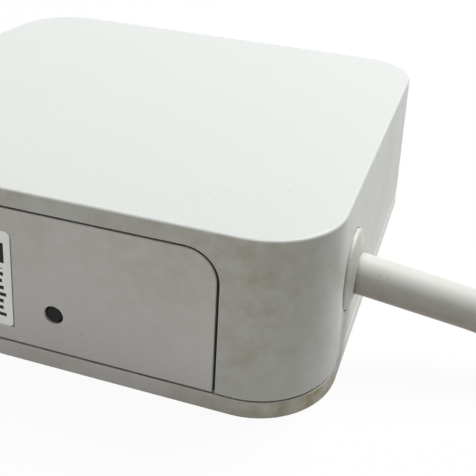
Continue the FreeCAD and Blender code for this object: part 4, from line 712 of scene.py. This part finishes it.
finish, tree, place = new_finish("capacitor_can")
way = add(tree, "ShaderNodeNewGeometry")
level = add(tree, "ShaderNodeSeparateXYZ", {"Vector": way.outputs["Normal"]})
top = add(tree, "ShaderNodeMath", {0: level.outputs["Z"], 1: 0.9}, operation="GREATER_THAN")
wrap = add(tree, "ShaderNodeTexNoise", {"Vector": place, "Scale": per_mm(4), "Detail": 3.0})
sleeve = add(tree, "ShaderNodeMix", {"Factor": wrap.outputs["Fac"], 6: colour_of("1d2733"),
                                     7: colour_of("2b3846")}, data_type="RGBA")
colour = add(tree, "ShaderNodeMix", {"Factor": top.outputs["Value"], 6: sleeve.outputs[2],
                                     7: colour_of("cdced0")}, data_type="RGBA")
edges = add(tree, "ShaderNodeBevel", {"Radius": 0.0005}, samples=6)
gloss = add(tree, "ShaderNodeMapRange", {"Value": wrap.outputs["Fac"], "To Min": 0.2, "To Max": 0.38})
shine(tree, Base_Color=colour.outputs[2], Metallic=top.outputs["Value"], Roughness=gloss.outputs["Result"],
      Normal=edges.outputs["Normal"])
capacitor_can = finish

RESISTOR_ROW = -0.0164
RESISTOR_STEP = 0.004
RESISTOR_MIDDLE = 0.25
CERAMIC_HALF = 0.165
finish, tree, place = new_finish("chip_resistor")
axis = add(tree, "ShaderNodeSeparateXYZ", {"Vector": place})
along = add(tree, "ShaderNodeMath", {0: axis.outputs["X"], 1: RESISTOR_ROW}, operation="SUBTRACT")
steps = add(tree, "ShaderNodeMath", {0: along.outputs["Value"], 1: RESISTOR_STEP}, operation="DIVIDE")
within = add(tree, "ShaderNodeMath", {0: steps.outputs["Value"]}, operation="FRACT")
centred = add(tree, "ShaderNodeMath", {0: within.outputs["Value"], 1: RESISTOR_MIDDLE},
              operation="SUBTRACT")
centred = add(tree, "ShaderNodeMath", {0: centred.outputs["Value"]}, operation="ABSOLUTE")
end = add(tree, "ShaderNodeMath", {0: centred.outputs["Value"], 1: CERAMIC_HALF},
          operation="GREATER_THAN")
fired = add(tree, "ShaderNodeTexNoise", {"Vector": place, "Scale": per_mm(0.4), "Detail": 2.0})
ceramic = add(tree, "ShaderNodeMix", {"Factor": fired.outputs["Fac"], 6: colour_of("161617"),
                                      7: colour_of("242426")}, data_type="RGBA")
colour = add(tree, "ShaderNodeMix", {"Factor": end.outputs["Value"], 6: ceramic.outputs[2],
                                     7: colour_of("c8c8c4")}, data_type="RGBA")
gloss = add(tree, "ShaderNodeMapRange", {"Value": fired.outputs["Fac"], "To Min": 0.3, "To Max": 0.5})
shine(tree, Base_Color=colour.outputs[2], Metallic=end.outputs["Value"], Roughness=gloss.outputs["Result"])
chip_resistor = finish

finish, tree, place = new_finish("led_epoxy")
cloud = add(tree, "ShaderNodeTexNoise", {"Vector": place, "Scale": per_mm(1.2), "Detail": 2.0})
colour = add(tree, "ShaderNodeMix", {"Factor": cloud.outputs["Fac"], 6: colour_of("dfe8d2"),
                                     7: colour_of("cbd8bb")}, data_type="RGBA")
gloss = add(tree, "ShaderNodeMapRange", {"Value": cloud.outputs["Fac"], "To Min": 0.1, "To Max": 0.22})
shine(tree, Base_Color=colour.outputs[2], Roughness=gloss.outputs["Result"], Transmission_Weight=0.35,
      IOR=1.5)
led_epoxy = finish
print("finishes:", len(bpy.data.materials))

# %% [markdown]
# ## Studio
#
# The box stands on a pale floor. Its top is bright, its right side half bright and its front in shade, so
# the main light is a large soft panel above and behind it to the right, and the room gives the rest. The
# floor and the room look white to the camera, whatever light falls on them, and the floor keeps a trace of
# the shadow.

# %% Floor, room and lamps
FLOOR_GLOW = 0.94
ROOM_FILL = 0.10
FLOOR_HALF = 3.0
AIM = (0, 0, 0.02)


def shows_room(tree):
    """1 for a ray that shows the room: from the camera, off a gloss or through glass."""
    ray = add(tree, "ShaderNodeLightPath")
    seen = add(tree, "ShaderNodeMath", {0: ray.outputs["Is Camera Ray"], 1: ray.outputs["Is Glossy Ray"]},
               operation="MAXIMUM")
    seen = add(tree, "ShaderNodeMath", {0: seen.outputs["Value"], 1: ray.outputs["Is Transmission Ray"]},
               operation="MAXIMUM")
    return seen.outputs["Value"]


floor_finish, tree, place = new_finish("pale_floor")
lit = add(tree, "ShaderNodeBsdfDiffuse", {"Color": colour_of("bbbab8")})
shown = add(tree, "ShaderNodeBsdfDiffuse", {"Color": (1, 1, 1, 1)})
white = add(tree, "ShaderNodeEmission", {"Color": (1, 1, 1, 1), "Strength": 1.0})
shadowed = add(tree, "ShaderNodeMixShader", {0: FLOOR_GLOW, 1: shown.outputs["BSDF"],
                                             2: white.outputs["Emission"]})
both = add(tree, "ShaderNodeMixShader", {0: shows_room(tree), 1: lit.outputs["BSDF"],
                                         2: shadowed.outputs["Shader"]})
add(tree, "ShaderNodeOutputMaterial", {"Surface": both.outputs["Shader"]})

floor_mesh = bpy.data.meshes.new("floor")
work = bmesh.new()
bmesh.ops.create_grid(work, x_segments=1, y_segments=1, size=FLOOR_HALF)
work.to_mesh(floor_mesh)
work.free()
floor = bpy.data.objects.new("floor", floor_mesh)
floor_mesh.materials.append(floor_finish)
scene.collection.objects.link(floor)

world = bpy.data.worlds.new("room")
scene.world = world
world.use_nodes = True
tree = world.node_tree
tree.nodes.clear()
seen = shows_room(tree)
level = add(tree, "ShaderNodeMapRange", {"Value": seen, "To Min": ROOM_FILL, "To Max": 1.0})
tint = add(tree, "ShaderNodeMix", {"Factor": seen, 6: (1.0, 0.985, 0.955, 1), 7: (1, 1, 1, 1)},
           data_type="RGBA")
sky = add(tree, "ShaderNodeBackground", {"Color": tint.outputs[2], "Strength": level.outputs["Result"]})
add(tree, "ShaderNodeOutputWorld", {"Surface": sky.outputs["Background"]})


def lamp(name, place, size, power, colour):
    """A square soft panel that faces the box."""
    data = bpy.data.lights.new(name, "AREA")
    data.size = size
    data.energy = power
    data.color = colour
    panel = bpy.data.objects.new(name, data)
    panel.location = place
    panel.rotation_euler = (Vector(AIM) - Vector(place)).to_track_quat("-Z", "Y").to_euler()
    scene.collection.objects.link(panel)


lamp("main_panel", (0.37, 0.56, 1.06), 0.7, 15.3, (0.972, 1.0, 0.985))
lamp("front_fill", (-0.55, -0.85, 0.62), 0.9, 2.3, (1.0, 0.98, 0.95))
print("lamps:", len(bpy.data.lights))

# %% [markdown]
# ## Finishes on the CAD pieces
#
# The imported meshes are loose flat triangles. A small tree of geometry nodes joins their points and shades
# them smooth, except over edges sharper than 28 degrees, and leaves the meshes themselves alone. Normals
# are then weighted by area, so that a flat face stays flat up to the small rounding at its edge.

# %% Smooth shading
SHARP_EDGE = math.radians(28)
SAME_POINT = 1e-6
smoother = bpy.data.node_groups.new("smooth_to_28_degrees", "GeometryNodeTree")
smoother.interface.new_socket("Geometry", in_out="INPUT", socket_type="NodeSocketGeometry")
smoother.interface.new_socket("Geometry", in_out="OUTPUT", socket_type="NodeSocketGeometry")
source = add(smoother, "NodeGroupInput")
joined = add(smoother, "GeometryNodeMergeByDistance", {"Geometry": source.outputs[0],
                                                       "Distance": SAME_POINT})
angle = add(smoother, "GeometryNodeInputMeshEdgeAngle")
sharp = add(smoother, "FunctionNodeCompare", {"A": angle.outputs["Unsigned Angle"], "B": SHARP_EDGE},
            data_type="FLOAT", operation="GREATER_THAN")
soft = add(smoother, "GeometryNodeSetShadeSmooth", {"Geometry": joined.outputs[0], "Shade Smooth": True},
           domain="FACE")
kept = add(smoother, "GeometryNodeSetShadeSmooth", {"Geometry": soft.outputs[0],
                                                    "Selection": sharp.outputs[0], "Shade Smooth": False},
           domain="EDGE")
add(smoother, "NodeGroupOutput", {0: kept.outputs[0]})
print("smoother:", len(smoother.nodes), "nodes")

# %% [markdown]
# Each finish has the list of the pieces that wear it. The nodes that a cord stands for need none, and the
# cords take theirs from a list of their own.

# %% Finishes by piece
FINISHES = {
    shell_abs: ["housing"],
    base_abs: ["base_plate"],
    cover_abs: ["terminal_cover"],
    label_film: ["label"],
    nylon_white: ["cable_gland"],
    nylon_natural: ["gland_locknut", "cable_clamp", "cable_tie"],
    zinc: ["clamp_screws", "board_screws", "terminal_screws"],
    brass: ["terminal_clamps", "fuse_clips"],
    tin: ["radio_shield", "crystal", "core_ferrules", "lead_ferrules"],
    laminate: ["main_board", "radio_board"],
    green_polyamide: ["terminal_block"],
    blue_case: ["relay_heating", "relay_water"],
    black_epoxy: ["power_module", "microcontroller", "flyback_diodes", "reset_button"],
    black_rubber: ["reset_cap"],
    grey_case: ["reset_switch"],
    glass_fuse: ["fuse"],
    blue_lacquer: ["varistor"],
    yellow_case: ["x2_capacitor"],
    capacitor_can: ["bulk_capacitor", "output_capacitor"],
    chip_resistor: ["board_resistors"],
    led_epoxy: ["status_led"],
}
for finish, names in FINISHES.items():
    for name in names:
        piece = nodes[name]
        piece.data.materials.clear()
        piece.data.materials.append(finish)
        piece.modifiers.new("smooth", "NODES").node_group = smoother
        weighted = piece.modifiers.new("weighted", "WEIGHTED_NORMAL")
        weighted.weight = 100
        weighted.keep_sharp = True
CORD_FINISHES = {
    pvc_sheath: [flex, inner["cable_entry"]],
    brown_pvc: [lead_cores["brown"], inner["core_brown"]],
    blue_pvc: [lead_cores["blue"], inner["core_blue"]],
    green_yellow_pvc: [lead_cores["earth"], inner["core_earth"]],
    black_epoxy: [inner["antenna"]],
}
for finish, cords in CORD_FINISHES.items():
    for cord in cords:
        cord.data.materials.append(finish)
print("finished: nodes", sum(len(names) for names in FINISHES.values()), "and cords",
      sum(len(cords) for cords in CORD_FINISHES.values()))

# %% [markdown]
# ## Finish
#
# The view layer is updated, so every object and modifier is current. The dressed model has to stay
# inside the box of the CAD model.

# %% Finish
bpy.context.view_layer.update()
